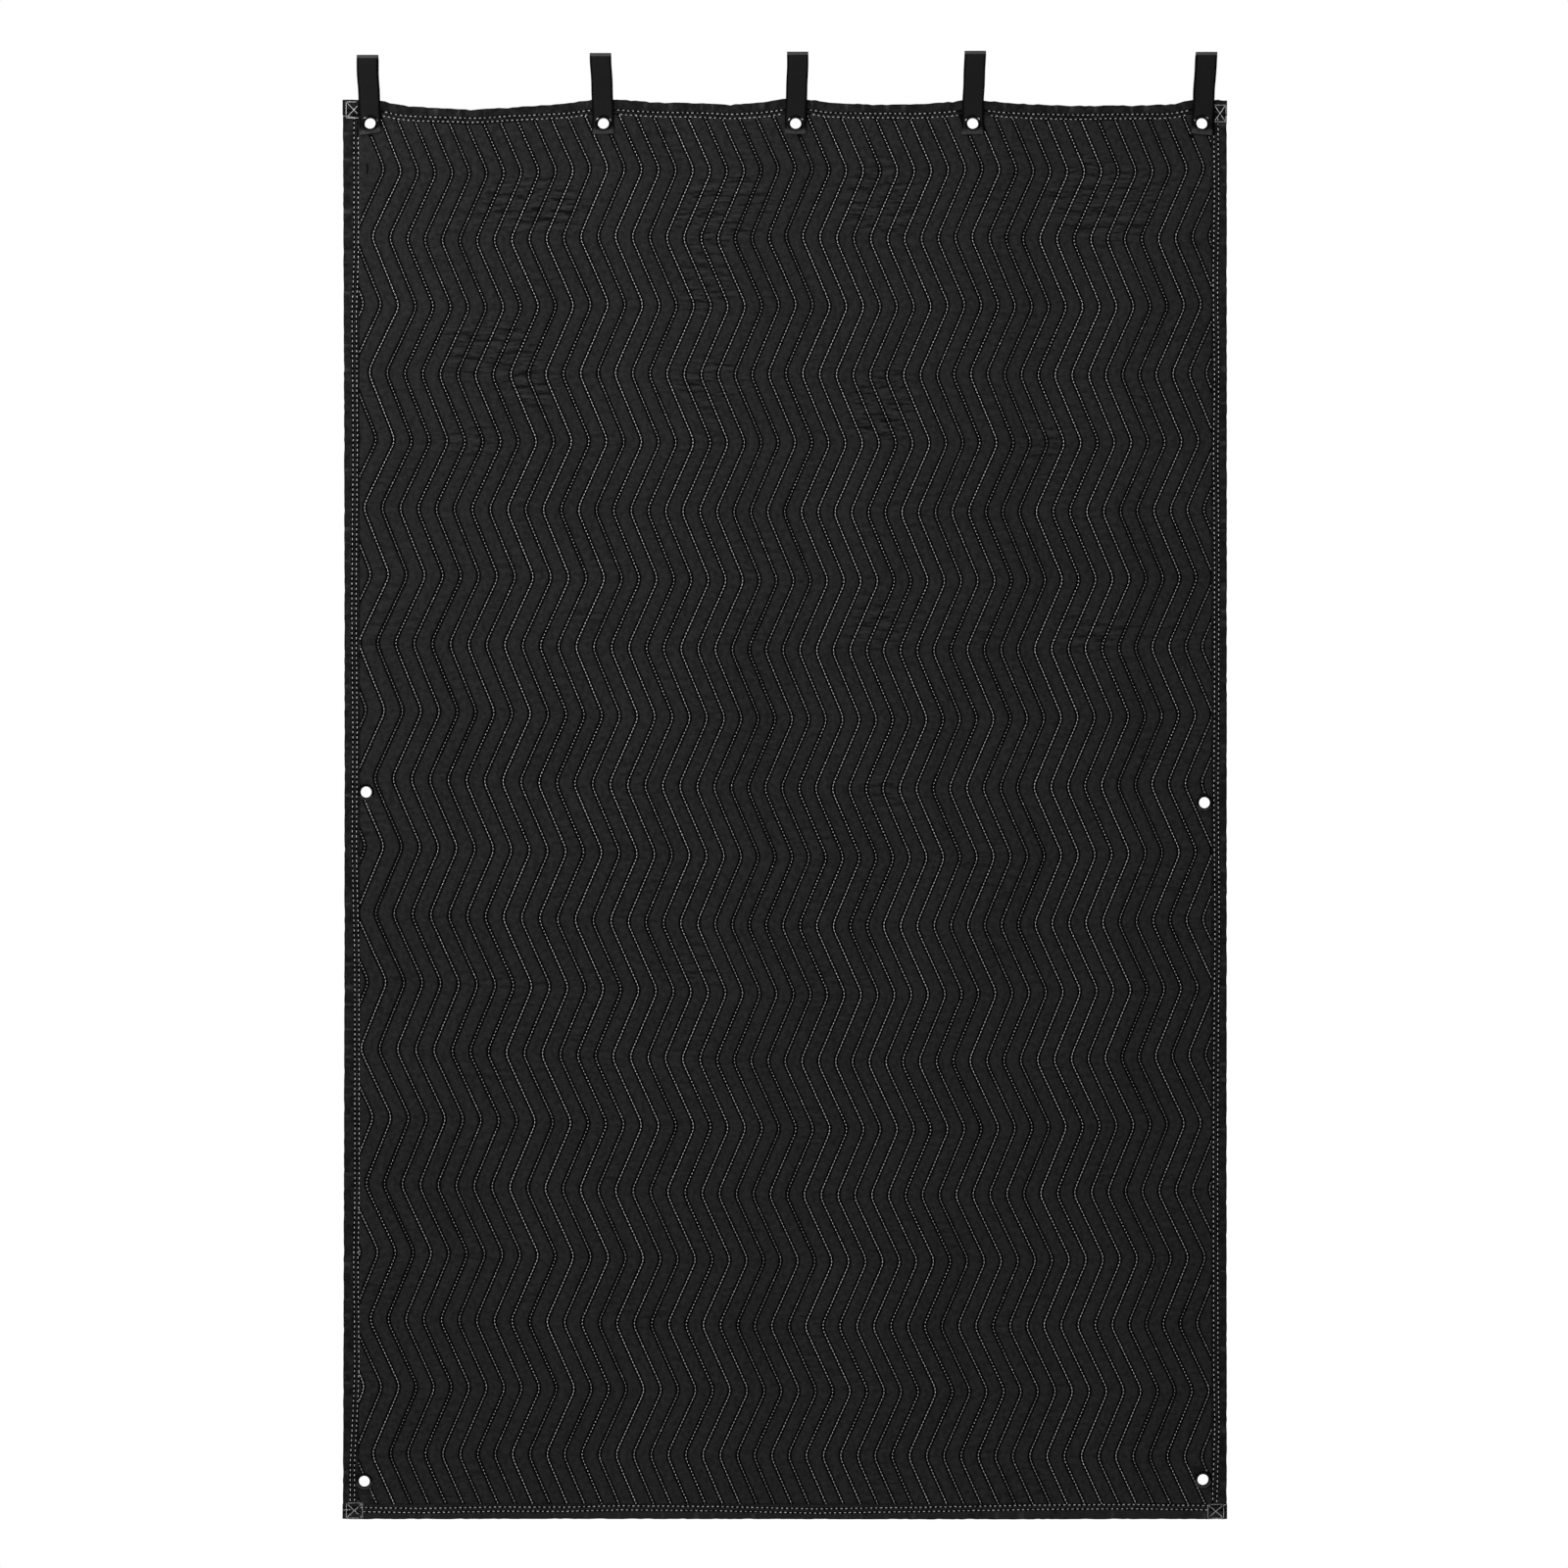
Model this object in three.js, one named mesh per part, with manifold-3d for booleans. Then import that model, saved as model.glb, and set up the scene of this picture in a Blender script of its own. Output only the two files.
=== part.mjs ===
// Quilted sound dampening blanket, hung from five webbing tabs.
// Millimetres. +X is the viewer's right, the front faces -Y and +Z is up.
// The origin is on the hanging line, under the crowns of the tabs, at the middle of the width.

import * as THREE from "three";
import { mergeVertices } from "three/addons/utils/BufferGeometryUtils.js";
import Module from "manifold-3d";

const wasm = await Module();
wasm.setup();

// Overall size of the bound panel
const SIDE_X = 660.2;
const TOP_Z = -68.2;
const BOTTOM_Z = -2190.2;
const LEFT_END_X = -661.4;
const LEFT_DRAW = 2.5;
const RIGHT_FALL = 1.4;

// Pad, binding tape and the clearance between pieces
const CROWN = 3.2;
const STITCHED = 1.7;
const RAW_EDGE = 1.2;
const TAPE = 0.9;
const BINDING_WIDTH = 23.4;
const GAP = 0.3;
const FOLD_ROUND = 1.5;
const CORNER_X = SIDE_X - BINDING_WIDTH - 1;
const CORNER_RAMP = 5;

// Quilting: vertical zigzag lines, 1 in apart, with an 8 in repeat. The lines wander as they
// go down: a drift in four terms, a bend of the outer lines and a ripple across the panel
const LINE_PITCH = 25.54;
const LINE_SPREAD = 0.3;
const FIRST_LINE = -26;
const LAST_LINE = 27;
const DRIFT = { top: -5.7, fall: 5.4, middle: -4.8, sway: 2.7 };
const SWAY_DRAW = 0.086;
const BEND_LINE = 24;
const BEND = 16.5;
const RIPPLE = 3.3;
const RIPPLE_LINE = -8.4;
const RIPPLE_LINES = 39.4;
const ZIGZAG = 22;
const FIRST_CORNER_Z = -171.6;
const CORNER_STEP = 101.2;
const LAST_ROW = 20;
const ROW_SAG = 19.4;
const ROW_TILT = 2.5;
const SAG_X = 115;
const SAG_SPAN = 900;
const SAG_LEAN = 1.6;
const BAY_ROWS = 6;
const BAY_SHARE = 0.55;
const LEFT_SEAM_LINE = -22;
const RIGHT_SEAM_LINE = 23;

// Webbing tabs: a row for each tab, with the heights of its crown and of its lower end,
// the middle of the strap at both, the rise of the lower end from left to right,
// the panel's top edge below it and the strap's stand-off from the panel's middle
const TAB_WIDTH = 32;
const WEBBING = 1.5;
const LOOP_RADIUS = 11;
const CROWN_STEPS = 6;
const TABS = [
  { crownZ: -1.6, endZ: -120.0, topX: -624.4, endX: -619.8, endRise: 5.0, edgeZ: -68.5, standOff: 4.2 },
  { crownZ: 1.2, endZ: -120.2, topX: -275.9, endX: -271.2, endRise: 0.6, edgeZ: -67.2, standOff: 3.5 },
  { crownZ: 3.2, endZ: -120.4, topX: 19.0, endX: 15.0, endRise: -0.8, edgeZ: -66.0, standOff: 3.5 },
  { crownZ: 4.5, endZ: -121.0, topX: 283.8, endX: 279.4, endRise: 0.8, edgeZ: -68.6, standOff: 3.5 },
  { crownZ: 2.9, endZ: -120.8, topX: 629.6, endX: 622.4, endRise: -3.6, edgeZ: -67.5, standOff: 4.2 },
];

// Sag of the top edge between two tabs, at five shares of the bay's width
const BAY_SHARES = [0.1, 0.25, 0.45, 0.7, 0.9];
const BAY_SAGS = [
  [8.5, 12.2, 15.5, 10.7, 6.0],
  [1.9, 4.8, 6.0, 9.2, 5.1],
  [5.4, 7.2, 8.5, 7.5, 3.7],
  [4.1, 6.7, 8.9, 8.5, 7.6],
];

// Eyelets: one under each tab, one half way down each side and one in each lower corner
const BORE_R = 8.7;
const FACE_R = 11.0;
const BARREL_R = 9.5;
const FLANGE_R = 12.4;
const FLANGE_RISE = 1.1;
const ROUND_STEPS = 12;
const EYELETS = [
  { name: "eyelet_tab_1", x: -620.2, z: -104.3, grip: 5.7 },
  { name: "eyelet_tab_2", x: -271.6, z: -104.3, grip: 5.0 },
  { name: "eyelet_tab_3", x: 15.6, z: -104.3, grip: 5.0 },
  { name: "eyelet_tab_4", x: 280.2, z: -104.3, grip: 5.0 },
  { name: "eyelet_tab_5", x: 622.6, z: -104.3, grip: 5.7 },
  { name: "eyelet_left_middle", x: -626.2, z: -1103.4, grip: CROWN },
  { name: "eyelet_right_middle", x: 626.5, z: -1119.2, grip: CROWN },
  { name: "eyelet_left_lower", x: -628.9, z: -2133.2, grip: CROWN },
  { name: "eyelet_right_lower", x: 624.2, z: -2130.7, grip: CROWN },
];

// Soft bulges of the hung cloth, out of its plane: a row for each, with its centre,
// its half spans and its depth, less than zero towards the front
const BULGES = [
  { x: -446, z: -90, spanX: 158, spanZ: 560, depth: -5.0 },
  { x: -128, z: -90, spanX: 128, spanZ: 430, depth: 3.5 },
  { x: 148, z: -90, spanX: 116, spanZ: 380, depth: -4.0 },
  { x: 451, z: -90, spanX: 154, spanZ: 520, depth: 4.5 },
  { x: -660, z: -604, spanX: 230, spanZ: 480, depth: 3.0 },
  { x: -660, z: -1618, spanX: 260, spanZ: 495, depth: -3.5 },
  { x: 660, z: -612, spanX: 240, spanZ: 490, depth: -3.0 },
  { x: 660, z: -1625, spanX: 250, spanZ: 490, depth: 3.0 },
  { x: -150, z: -1150, spanX: 380, spanZ: 560, depth: -4.0 },
  { x: 330, z: -1650, spanX: 260, spanZ: 500, depth: 3.0 },
  { x: -330, z: -2190, spanX: 270, spanZ: 380, depth: 4.0 },
  { x: 250, z: -2190, spanX: 320, spanZ: 420, depth: -4.0 },
];

// Steps of the meshes, and reaches of the cutting bodies
const SIDE_ROWS = 10;
const BOTTOM_COLUMNS = 10;
const RAW_INSET = 1.9;
const RAW_OVERLAP = 2;
const DEEP = 40;
const CELL_REACH = 60;

// Shape of the hung cloth

function spread(from, to, steps) {
  return Array.from({ length: steps + 1 }, (_, step) => THREE.MathUtils.lerp(from, to, step / steps));
}

function hump(distance, span) {
  const share = Math.abs(distance) / span;
  return share < 1 ? Math.cos((share * Math.PI) / 2) ** 2 : 0;
}

function bulge(x, z) {
  let depth = 0;
  for (const row of BULGES) {
    depth += row.depth * hump(x - row.x, row.spanX) * hump(z - row.z, row.spanZ);
  }
  return depth;
}

function leftEdge(z) {
  const share = (TOP_Z - z) / (TOP_Z - BOTTOM_Z);
  return LEFT_END_X + LEFT_DRAW * Math.sin(Math.PI * THREE.MathUtils.clamp(share, 0, 1));
}

function rightEdge() {
  return SIDE_X;
}

// Middle of a leaning strap at a height
function strapX(tab, z) {
  return THREE.MathUtils.mapLinear(z, tab.endZ, tab.crownZ, tab.endX, tab.topX);
}

// Points of the top edge from left to right, with the straps' edges among them
function topStations() {
  const stations = [
    { x: LEFT_END_X, z: TOP_Z },
    { x: -CORNER_X, z: TABS[0].edgeZ },
    { x: CORNER_RAMP - CORNER_X, z: TABS[0].edgeZ },
    { x: CORNER_X - CORNER_RAMP, z: TABS[4].edgeZ },
    { x: CORNER_X, z: TABS[4].edgeZ },
    { x: SIDE_X, z: TOP_Z - RIGHT_FALL },
  ];
  BAY_SAGS.forEach((sags, index) => {
    const tab = TABS[index];
    const next = TABS[index + 1];
    const from = strapX(tab, tab.edgeZ) + TAB_WIDTH / 2;
    const to = strapX(next, next.edgeZ) - TAB_WIDTH / 2;
    stations.push({ x: from, z: tab.edgeZ });
    BAY_SHARES.forEach((share, column) => {
      const level = THREE.MathUtils.lerp(tab.edgeZ, next.edgeZ, share);
      stations.push({ x: THREE.MathUtils.lerp(from, to, share), z: level - sags[column] });
    });
    stations.push({ x: to, z: next.edgeZ });
  });
  return stations.sort((a, b) => a.x - b.x);
}

const TOP_EDGE = topStations();

function topEdge(x) {
  const last = TOP_EDGE.length - 1;
  let index = TOP_EDGE.findIndex((station) => station.x > x);
  if (index < 0) {
    index = last;
  }
  const to = TOP_EDGE[Math.max(index, 1)];
  const from = TOP_EDGE[Math.max(index, 1) - 1];
  return THREE.MathUtils.mapLinear(x, from.x, to.x, from.z, to.z);
}

// Closed meshes, and the solids that are cut from them

function closedGeometry(positions, indices) {
  const geometry = new THREE.BufferGeometry();
  geometry.setAttribute("position", new THREE.Float32BufferAttribute(positions, 3));
  geometry.setIndex(indices);
  return geometry;
}

function solidOf(geometry) {
  const bare = geometry.clone();
  bare.deleteAttribute("normal");
  bare.deleteAttribute("uv");
  const merged = mergeVertices(bare, 1e-4);
  const mesh = new wasm.Mesh({
    numProp: 3,
    vertProperties: new Float32Array(merged.attributes.position.array),
    triVerts: new Uint32Array(merged.index.array),
  });
  return new wasm.Manifold(mesh);
}

function geometryOf(solid) {
  const mesh = solid.getMesh();
  const positions = [];
  for (let vertex = 0; vertex < mesh.vertProperties.length; vertex += mesh.numProp) {
    positions.push(...mesh.vertProperties.slice(vertex, vertex + 3));
  }
  return closedGeometry(positions, Array.from(mesh.triVerts));
}

// A closed body through sections, each a ring of points in the same order
function loft(sections, cap) {
  const ring = sections[0].length;
  const positions = sections.flat(2);
  const indices = [];
  for (let row = 0; row < sections.length - 1; row += 1) {
    for (let side = 0; side < ring; side += 1) {
      const a = row * ring + side;
      const b = row * ring + ((side + 1) % ring);
      indices.push(a, b, b + ring, a, b + ring, a + ring);
    }
  }
  const start = (sections.length - 1) * ring;
  for (const [a, b, c] of cap) {
    indices.push(a, c, b, start + a, start + b, start + c);
  }
  return outward(closedGeometry(positions, indices));
}

// Turns a mesh that is inside out
function outward(geometry) {
  const position = geometry.attributes.position;
  const index = geometry.index.array;
  const corner = [new THREE.Vector3(), new THREE.Vector3(), new THREE.Vector3()];
  let volume = 0;
  for (let face = 0; face < index.length; face += 3) {
    corner.forEach((point, side) => point.fromBufferAttribute(position, index[face + side]));
    volume += corner[0].dot(corner[1].cross(corner[2]));
  }
  if (volume < 0) {
    for (let face = 0; face < index.length; face += 3) {
      [index[face], index[face + 1]] = [index[face + 1], index[face]];
    }
  }
  return geometry;
}

// An outline in the blanket's plane, through its whole depth
function prism(outline) {
  const shape = new THREE.Shape(outline.map((point) => new THREE.Vector2(point.x, point.z)));
  const geometry = new THREE.ExtrudeGeometry(shape, { depth: 2 * DEEP, bevelEnabled: false });
  geometry.rotateX(Math.PI / 2);
  geometry.translate(0, DEEP, 0);
  return solidOf(geometry);
}

// Quilted pad

// Height of a corner row: the rows sag in the middle, fall to the right and near the top
// follow the bays
function cornerZ(row, x) {
  const down = THREE.MathUtils.clamp(row / (LAST_ROW - 1), 0, 1);
  const sag = ROW_SAG * Math.sin(Math.PI * down ** SAG_LEAN) * hump(x - SAG_X, SAG_SPAN);
  const tilt = (ROW_TILT * down * x) / SIDE_X;
  const nearTop = THREE.MathUtils.clamp(1 - row / BAY_ROWS, 0, 1);
  const bay = BAY_SHARE * nearTop * (TOP_Z - topEdge(x));
  return FIRST_CORNER_Z - CORNER_STEP * row - sag - tilt - bay;
}

// Place of a quilting line at a corner row: the corners point right in even rows
function lineX(line, row) {
  const down = (row + 1) / (LAST_ROW + 1);
  const middle = Math.sin(Math.PI * down);
  const sway = Math.sin(3 * Math.PI * down);
  const drift = DRIFT.top + DRIFT.fall * down + DRIFT.middle * middle + DRIFT.sway * sway;
  const bend = BEND * middle * (line / BEND_LINE) ** 2;
  const wave = Math.cos((2 * Math.PI * (line - RIPPLE_LINE)) / RIPPLE_LINES);
  const pitch = LINE_PITCH + LINE_SPREAD * down - SWAY_DRAW * sway;
  const turn = row % 2 === 0 ? ZIGZAG : -ZIGZAG;
  return drift + RIPPLE * middle * wave + pitch * line - bend + turn;
}

// Part of the quilted sheet between two lines and two corner rows, drawn in by half a gap
// along the seams that it shares with its neighbours
function quiltedSheet({ lines, rows, seams }) {
  const columns = [];
  for (let half = 2 * lines[0]; half <= 2 * lines[1]; half += 1) {
    columns.push(half / 2);
  }
  const sections = [];
  for (let row = rows[0]; row <= rows[1]; row += 1) {
    const front = columns.map((line) => quiltPoint(line, row, -1, seams));
    const back = columns.map((line) => quiltPoint(line, row, 1, seams)).reverse();
    sections.push([...front, ...back]);
  }
  return solidOf(loft(sections, bandCap(columns.length)));
}

// Faces that close the end of a loft whose section is a band of two rows of points
function bandCap(count) {
  const cap = [];
  for (let side = 0; side < count - 1; side += 1) {
    const across = 2 * count - 1 - side;
    cap.push([side, side + 1, across], [side + 1, across - 1, across]);
  }
  return cap;
}

function quiltPoint(line, row, face, seams) {
  const x = lineX(line, row);
  const z = cornerZ(row, x);
  const half = Number.isInteger(line) ? STITCHED : CROWN;
  const seamX = (seams[`line ${line}`] ?? 0) * (GAP / 2);
  const seamZ = (seams[`row ${row}`] ?? 0) * (GAP / 2);
  return [x + seamX, bulge(x, z) + face * half, z + seamZ];
}

// Panel outline, drawn in from the bound edge
function panelOutline(inset) {
  const outline = [];
  const topLeft = TOP_EDGE[0].z;
  const topRight = TOP_EDGE[TOP_EDGE.length - 1].z;
  for (const z of spread(topLeft - inset, BOTTOM_Z + inset, SIDE_ROWS)) {
    outline.push({ x: leftEdge(z) + inset, z });
  }
  outline.push({ x: rightEdge() - inset, z: BOTTOM_Z + inset });
  outline.push({ x: rightEdge() - inset, z: topRight - inset });
  for (const station of [...TOP_EDGE].reverse()) {
    if (Math.abs(station.x) < SIDE_X - inset - 1) {
      outline.push({ x: station.x, z: station.z - inset });
    }
  }
  return outline;
}

// Runs of places along the sides and ends, for the pad's thin edge and the tape on it
function sideRun(edge, inward) {
  return spread(TOP_Z - GAP, BOTTOM_Z + GAP, SIDE_ROWS).map((z) => ({
    edge: [edge(z), z],
    inward: [inward, 0],
  }));
}

function bottomRun() {
  const inner = spread(CORNER_RAMP - CORNER_X, CORNER_X - CORNER_RAMP, BOTTOM_COLUMNS);
  const places = [LEFT_END_X, -CORNER_X, ...inner, CORNER_X, SIDE_X];
  return places.map((x) => ({ edge: [x, BOTTOM_Z], inward: [0, 1] }));
}

function topRun() {
  return TOP_EDGE.map((station) => ({ edge: [station.x, station.z], inward: [0, -1] }));
}

// A section at one place of a run: points are [distance in from the edge, depth]
function runSection(place, points) {
  return points.map(([inset, depth]) => {
    const x = place.edge[0] + place.inward[0] * inset;
    const z = place.edge[1] + place.inward[1] * inset;
    return [x, bulge(x, z) + depth, z];
  });
}

function rawEdge(run) {
  const depth = BINDING_WIDTH + GAP + RAW_OVERLAP;
  const points = [
    [RAW_INSET, -RAW_EDGE],
    [depth, -RAW_EDGE],
    [depth, RAW_EDGE],
    [RAW_INSET, RAW_EDGE],
  ];
  const sections = run.map((place) => runSection(place, points));
  return solidOf(loft(sections, [[0, 1, 2], [0, 2, 3]]));
}

function eyeletHoles() {
  const holes = EYELETS.map((eyelet) => {
    const drill = new THREE.CylinderGeometry(BARREL_R + GAP, BARREL_R + GAP, 2 * DEEP, ROUND_STEPS);
    drill.translate(eyelet.x, 0, eyelet.z);
    return solidOf(drill);
  });
  return holes.reduce((all, hole) => all.add(hole));
}

const HOLES = eyeletHoles();

// The pad's pieces meet along a row of corners and along two quilting lines
const LEFT_SEAM = `line ${LEFT_SEAM_LINE}`;
const RIGHT_SEAM = `line ${RIGHT_SEAM_LINE}`;
const PAD_PIECES = {
  heading: { lines: [FIRST_LINE, LAST_LINE], rows: [-1, 0], seams: { "row 0": 1 } },
  margin_left: {
    lines: [FIRST_LINE, LEFT_SEAM_LINE],
    rows: [0, LAST_ROW],
    seams: { "row 0": -1, [LEFT_SEAM]: -1 },
  },
  margin_right: {
    lines: [RIGHT_SEAM_LINE, LAST_LINE],
    rows: [0, LAST_ROW],
    seams: { "row 0": -1, [RIGHT_SEAM]: 1 },
  },
  field: {
    lines: [LEFT_SEAM_LINE, RIGHT_SEAM_LINE],
    rows: [0, LAST_ROW],
    seams: { "row 0": -1, [LEFT_SEAM]: 1, [RIGHT_SEAM]: -1 },
  },
};

function rawEdges() {
  const sides = [rawEdge(sideRun(leftEdge, 1)), rawEdge(sideRun(rightEdge, -1))];
  const ends = [rawEdge(topRun()), rawEdge(bottomRun())];
  const edges = [...sides, ...ends].reduce((all, strip) => all.add(strip));
  return edges.intersect(prism(panelOutline(RAW_INSET)));
}

// Outline of a piece of the pad, carried past the panel's edge where it has no seam
function pieceOutline({ lines, rows, seams }) {
  const outer = SIDE_X + CELL_REACH;
  const seamX = (line) => (seams[`line ${line}`] ?? 0) * (GAP / 2);
  const seamZ = (row) => (seams[`row ${row}`] ?? 0) * (GAP / 2);
  const side = (line, edge) => {
    if (!seams[`line ${line}`]) {
      return [{ x: edge, z: 0 }, { x: edge, z: BOTTOM_Z - CELL_REACH }];
    }
    const path = [];
    for (let row = rows[0]; row <= rows[1]; row += 1) {
      const x = lineX(line, row);
      path.push({ x: x + seamX(line), z: cornerZ(row, x) + seamZ(row) });
    }
    return path;
  };
  const seamRow = [];
  for (let line = lines[0]; line <= lines[1]; line += 1) {
    const x = lineX(line, 0);
    seamRow.push({ x: x + seamX(line), z: cornerZ(0, x) + seamZ(0) });
  }
  if (rows[0] < 0) {
    const first = { x: -outer, z: seamRow[0].z };
    const last = { x: outer, z: seamRow[seamRow.length - 1].z };
    return [{ x: -outer, z: 0 }, first, ...seamRow, last, { x: outer, z: 0 }];
  }
  const left = side(lines[0], -outer);
  const right = side(lines[1], outer);
  left[0].z = seamRow[0].z;
  right[0].z = seamRow[seamRow.length - 1].z;
  return [...left, ...right.reverse(), ...seamRow.slice(1, -1).reverse()];
}

const RAW_EDGES = rawEdges();
const CORE = prism(panelOutline(BINDING_WIDTH + GAP));

function padPiece(part) {
  const thick = quiltedSheet(part).intersect(CORE);
  const thin = RAW_EDGES.intersect(prism(pieceOutline(part)));
  return thick.add(thin).subtract(HOLES);
}

// Binding tape, folded over the pad's edge

function bindingPoints(inner) {
  const outer = inner + TAPE;
  const base = TAPE + 0.5;
  return [
    [BINDING_WIDTH, -outer],
    [FOLD_ROUND, -outer],
    [0, -outer * 0.4],
    [0, outer * 0.4],
    [FOLD_ROUND, outer],
    [BINDING_WIDTH, outer],
    [BINDING_WIDTH, inner],
    [base, inner],
    [base, -inner],
    [BINDING_WIDTH, -inner],
  ];
}

const BINDING_CAP = [
  [0, 1, 9], [1, 8, 9], [1, 2, 8], [2, 3, 8], [3, 7, 8], [3, 4, 7], [4, 6, 7], [4, 5, 6],
];

const EDGE_CLEAR = RAW_EDGE + 0.4;

// End tapes step out over the side tapes at the corners
function endTape(run) {
  const sections = run.map((place) => {
    const over = Math.abs(place.edge[0]) >= CORNER_X ? TAPE + GAP : 0;
    return runSection(place, bindingPoints(EDGE_CLEAR + over));
  });
  return solidOf(loft(sections, BINDING_CAP)).subtract(HOLES);
}

function sideTape(edge, inward, topZ) {
  const end = TAPE + 0.9;
  const run = spread(topZ - end, BOTTOM_Z + end, SIDE_ROWS).map((z) => ({
    edge: [edge(z), z],
    inward: [inward, 0],
  }));
  const sections = run.map((place) => runSection(place, bindingPoints(EDGE_CLEAR)));
  return solidOf(loft(sections, BINDING_CAP)).subtract(HOLES);
}

// Webbing tab: one strap from its front end over the crown to its back end

function strapSection(tab, radius, standOff) {
  const centreZ = tab.crownZ - WEBBING - LOOP_RADIUS;
  const points = [[-standOff, 0], [-standOff, tab.edgeZ]];
  for (let step = 0; step <= CROWN_STEPS; step += 1) {
    const angle = Math.PI * (1 - step / CROWN_STEPS);
    points.push([radius * Math.cos(angle), centreZ + radius * Math.sin(angle)]);
  }
  points.push([standOff, tab.edgeZ], [standOff, 0]);
  return points;
}

function webbingTab(tab) {
  const inner = strapSection(tab, LOOP_RADIUS, tab.standOff);
  const outer = strapSection(tab, LOOP_RADIUS + WEBBING, tab.standOff + WEBBING);
  const ring = [...outer, ...inner.reverse()];
  const count = outer.length;
  const ends = new Set([0, count - 1, count, 2 * count - 1]);
  const sections = [-0.5, 0.5].map((side) =>
    ring.map(([y, height], index) => {
      const z = ends.has(index) ? tab.endZ + side * tab.endRise : height;
      return [strapX(tab, z) + side * TAB_WIDTH, y, z];
    }),
  );
  return solidOf(loft(sections, bandCap(count))).subtract(HOLES);
}

// Eyelet: two rolled flanges on a barrel, with a flat ring round the bore on both faces
function eyeletGeometry(eyelet) {
  const under = eyelet.grip + GAP;
  const face = under + FLANGE_RISE;
  const profile = [
    [BORE_R, -face],
    [FACE_R, -face],
    [FLANGE_R, -under],
    [BARREL_R, -under],
    [BARREL_R, under],
    [FLANGE_R, under],
    [FACE_R, face],
    [BORE_R, face],
    [BORE_R, -face],
  ].map(([radius, depth]) => new THREE.Vector2(radius, depth));
  const geometry = new THREE.LatheGeometry(profile, ROUND_STEPS);
  geometry.translate(eyelet.x, 0, eyelet.z);
  return geometryOf(solidOf(geometry));
}

// Finishes

const clothFinish = { color: 0x1c1c1d, roughness: 0.88, metalness: 0.0 };
const tapeFinish = { color: 0x171718, roughness: 0.8, metalness: 0.0 };
const webbingFinish = { color: 0x151516, roughness: 0.75, metalness: 0.0 };
const metalFinish = { color: 0x101113, roughness: 0.3, metalness: 0.9 };

function piece(name, geometry, finish) {
  const flat = geometry.toNonIndexed();
  flat.computeVertexNormals();
  const mesh = new THREE.Mesh(flat, new THREE.MeshStandardMaterial(finish));
  mesh.name = name;
  return mesh;
}

const blanket = new THREE.Group();
for (const [name, part] of Object.entries(PAD_PIECES)) {
  blanket.add(piece(`pad_${name}`, geometryOf(padPiece(part)), clothFinish));
}
const tapes = {
  binding_left: sideTape(leftEdge, 1, TOP_Z),
  binding_right: sideTape(rightEdge, -1, TOP_Z - RIGHT_FALL),
  binding_top: endTape(topRun()),
  binding_bottom: endTape(bottomRun()),
};
for (const [name, solid] of Object.entries(tapes)) {
  blanket.add(piece(name, geometryOf(solid), tapeFinish));
}
TABS.forEach((tab, index) => {
  blanket.add(piece(`tab_${index + 1}`, geometryOf(webbingTab(tab)), webbingFinish));
});
for (const eyelet of EYELETS) {
  blanket.add(piece(eyelet.name, eyeletGeometry(eyelet), metalFinish));
}

export default blanket;
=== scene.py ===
# Dresses the packed solids of a quilted sound dampening blanket that hangs from five webbing tabs.
# Metres. +X is the viewer's right, the front faces -Y and +Z is up.
# The origin is on the hanging line, under the crowns of the tabs.

import math
from collections import namedtuple

import bmesh
import bpy
import numpy as np
from bpy.types import Operator, Panel, PropertyGroup
from mathutils import Matrix, Vector


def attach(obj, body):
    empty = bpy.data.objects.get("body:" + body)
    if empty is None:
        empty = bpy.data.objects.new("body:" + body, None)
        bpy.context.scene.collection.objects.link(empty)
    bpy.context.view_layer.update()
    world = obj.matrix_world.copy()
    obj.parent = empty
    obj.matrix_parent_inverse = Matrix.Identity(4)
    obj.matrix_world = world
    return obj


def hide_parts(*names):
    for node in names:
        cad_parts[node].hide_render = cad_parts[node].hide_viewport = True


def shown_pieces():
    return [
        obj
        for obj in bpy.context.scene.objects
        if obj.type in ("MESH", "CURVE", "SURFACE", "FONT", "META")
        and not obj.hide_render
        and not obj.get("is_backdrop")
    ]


bl_info = {
    "name": "Sound dampening blanket",
    "version": (1, 0, 0),
    "blender": (4, 5, 0),
    "location": "3D View > Sidebar > Blanket",
    "description": "Quilted pad, bindings, webbing tabs, eyelets and stitching over the packed solids",
    "category": "Add Mesh",
}

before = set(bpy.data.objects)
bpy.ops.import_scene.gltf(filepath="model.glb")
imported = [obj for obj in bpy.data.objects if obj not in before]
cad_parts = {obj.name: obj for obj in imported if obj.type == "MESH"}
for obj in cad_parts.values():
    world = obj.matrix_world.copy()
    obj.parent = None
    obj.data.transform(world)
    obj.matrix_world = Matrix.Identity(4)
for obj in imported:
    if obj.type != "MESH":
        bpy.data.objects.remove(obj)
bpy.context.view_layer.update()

MM = 0.001
FRONT = -1
BACK = 1

# Bound panel, as in the solids
SIDE_X = 660.2 * MM
TOP_Z = -68.2 * MM
BOTTOM_Z = -2190.2 * MM
LEFT_END_X = -661.4 * MM
LEFT_DRAW = 2.5 * MM
RIGHT_FALL = 1.4 * MM
EDGE_CLEAR = 1.6 * MM
CORNER_STEP_OUT = 1.2 * MM

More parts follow.
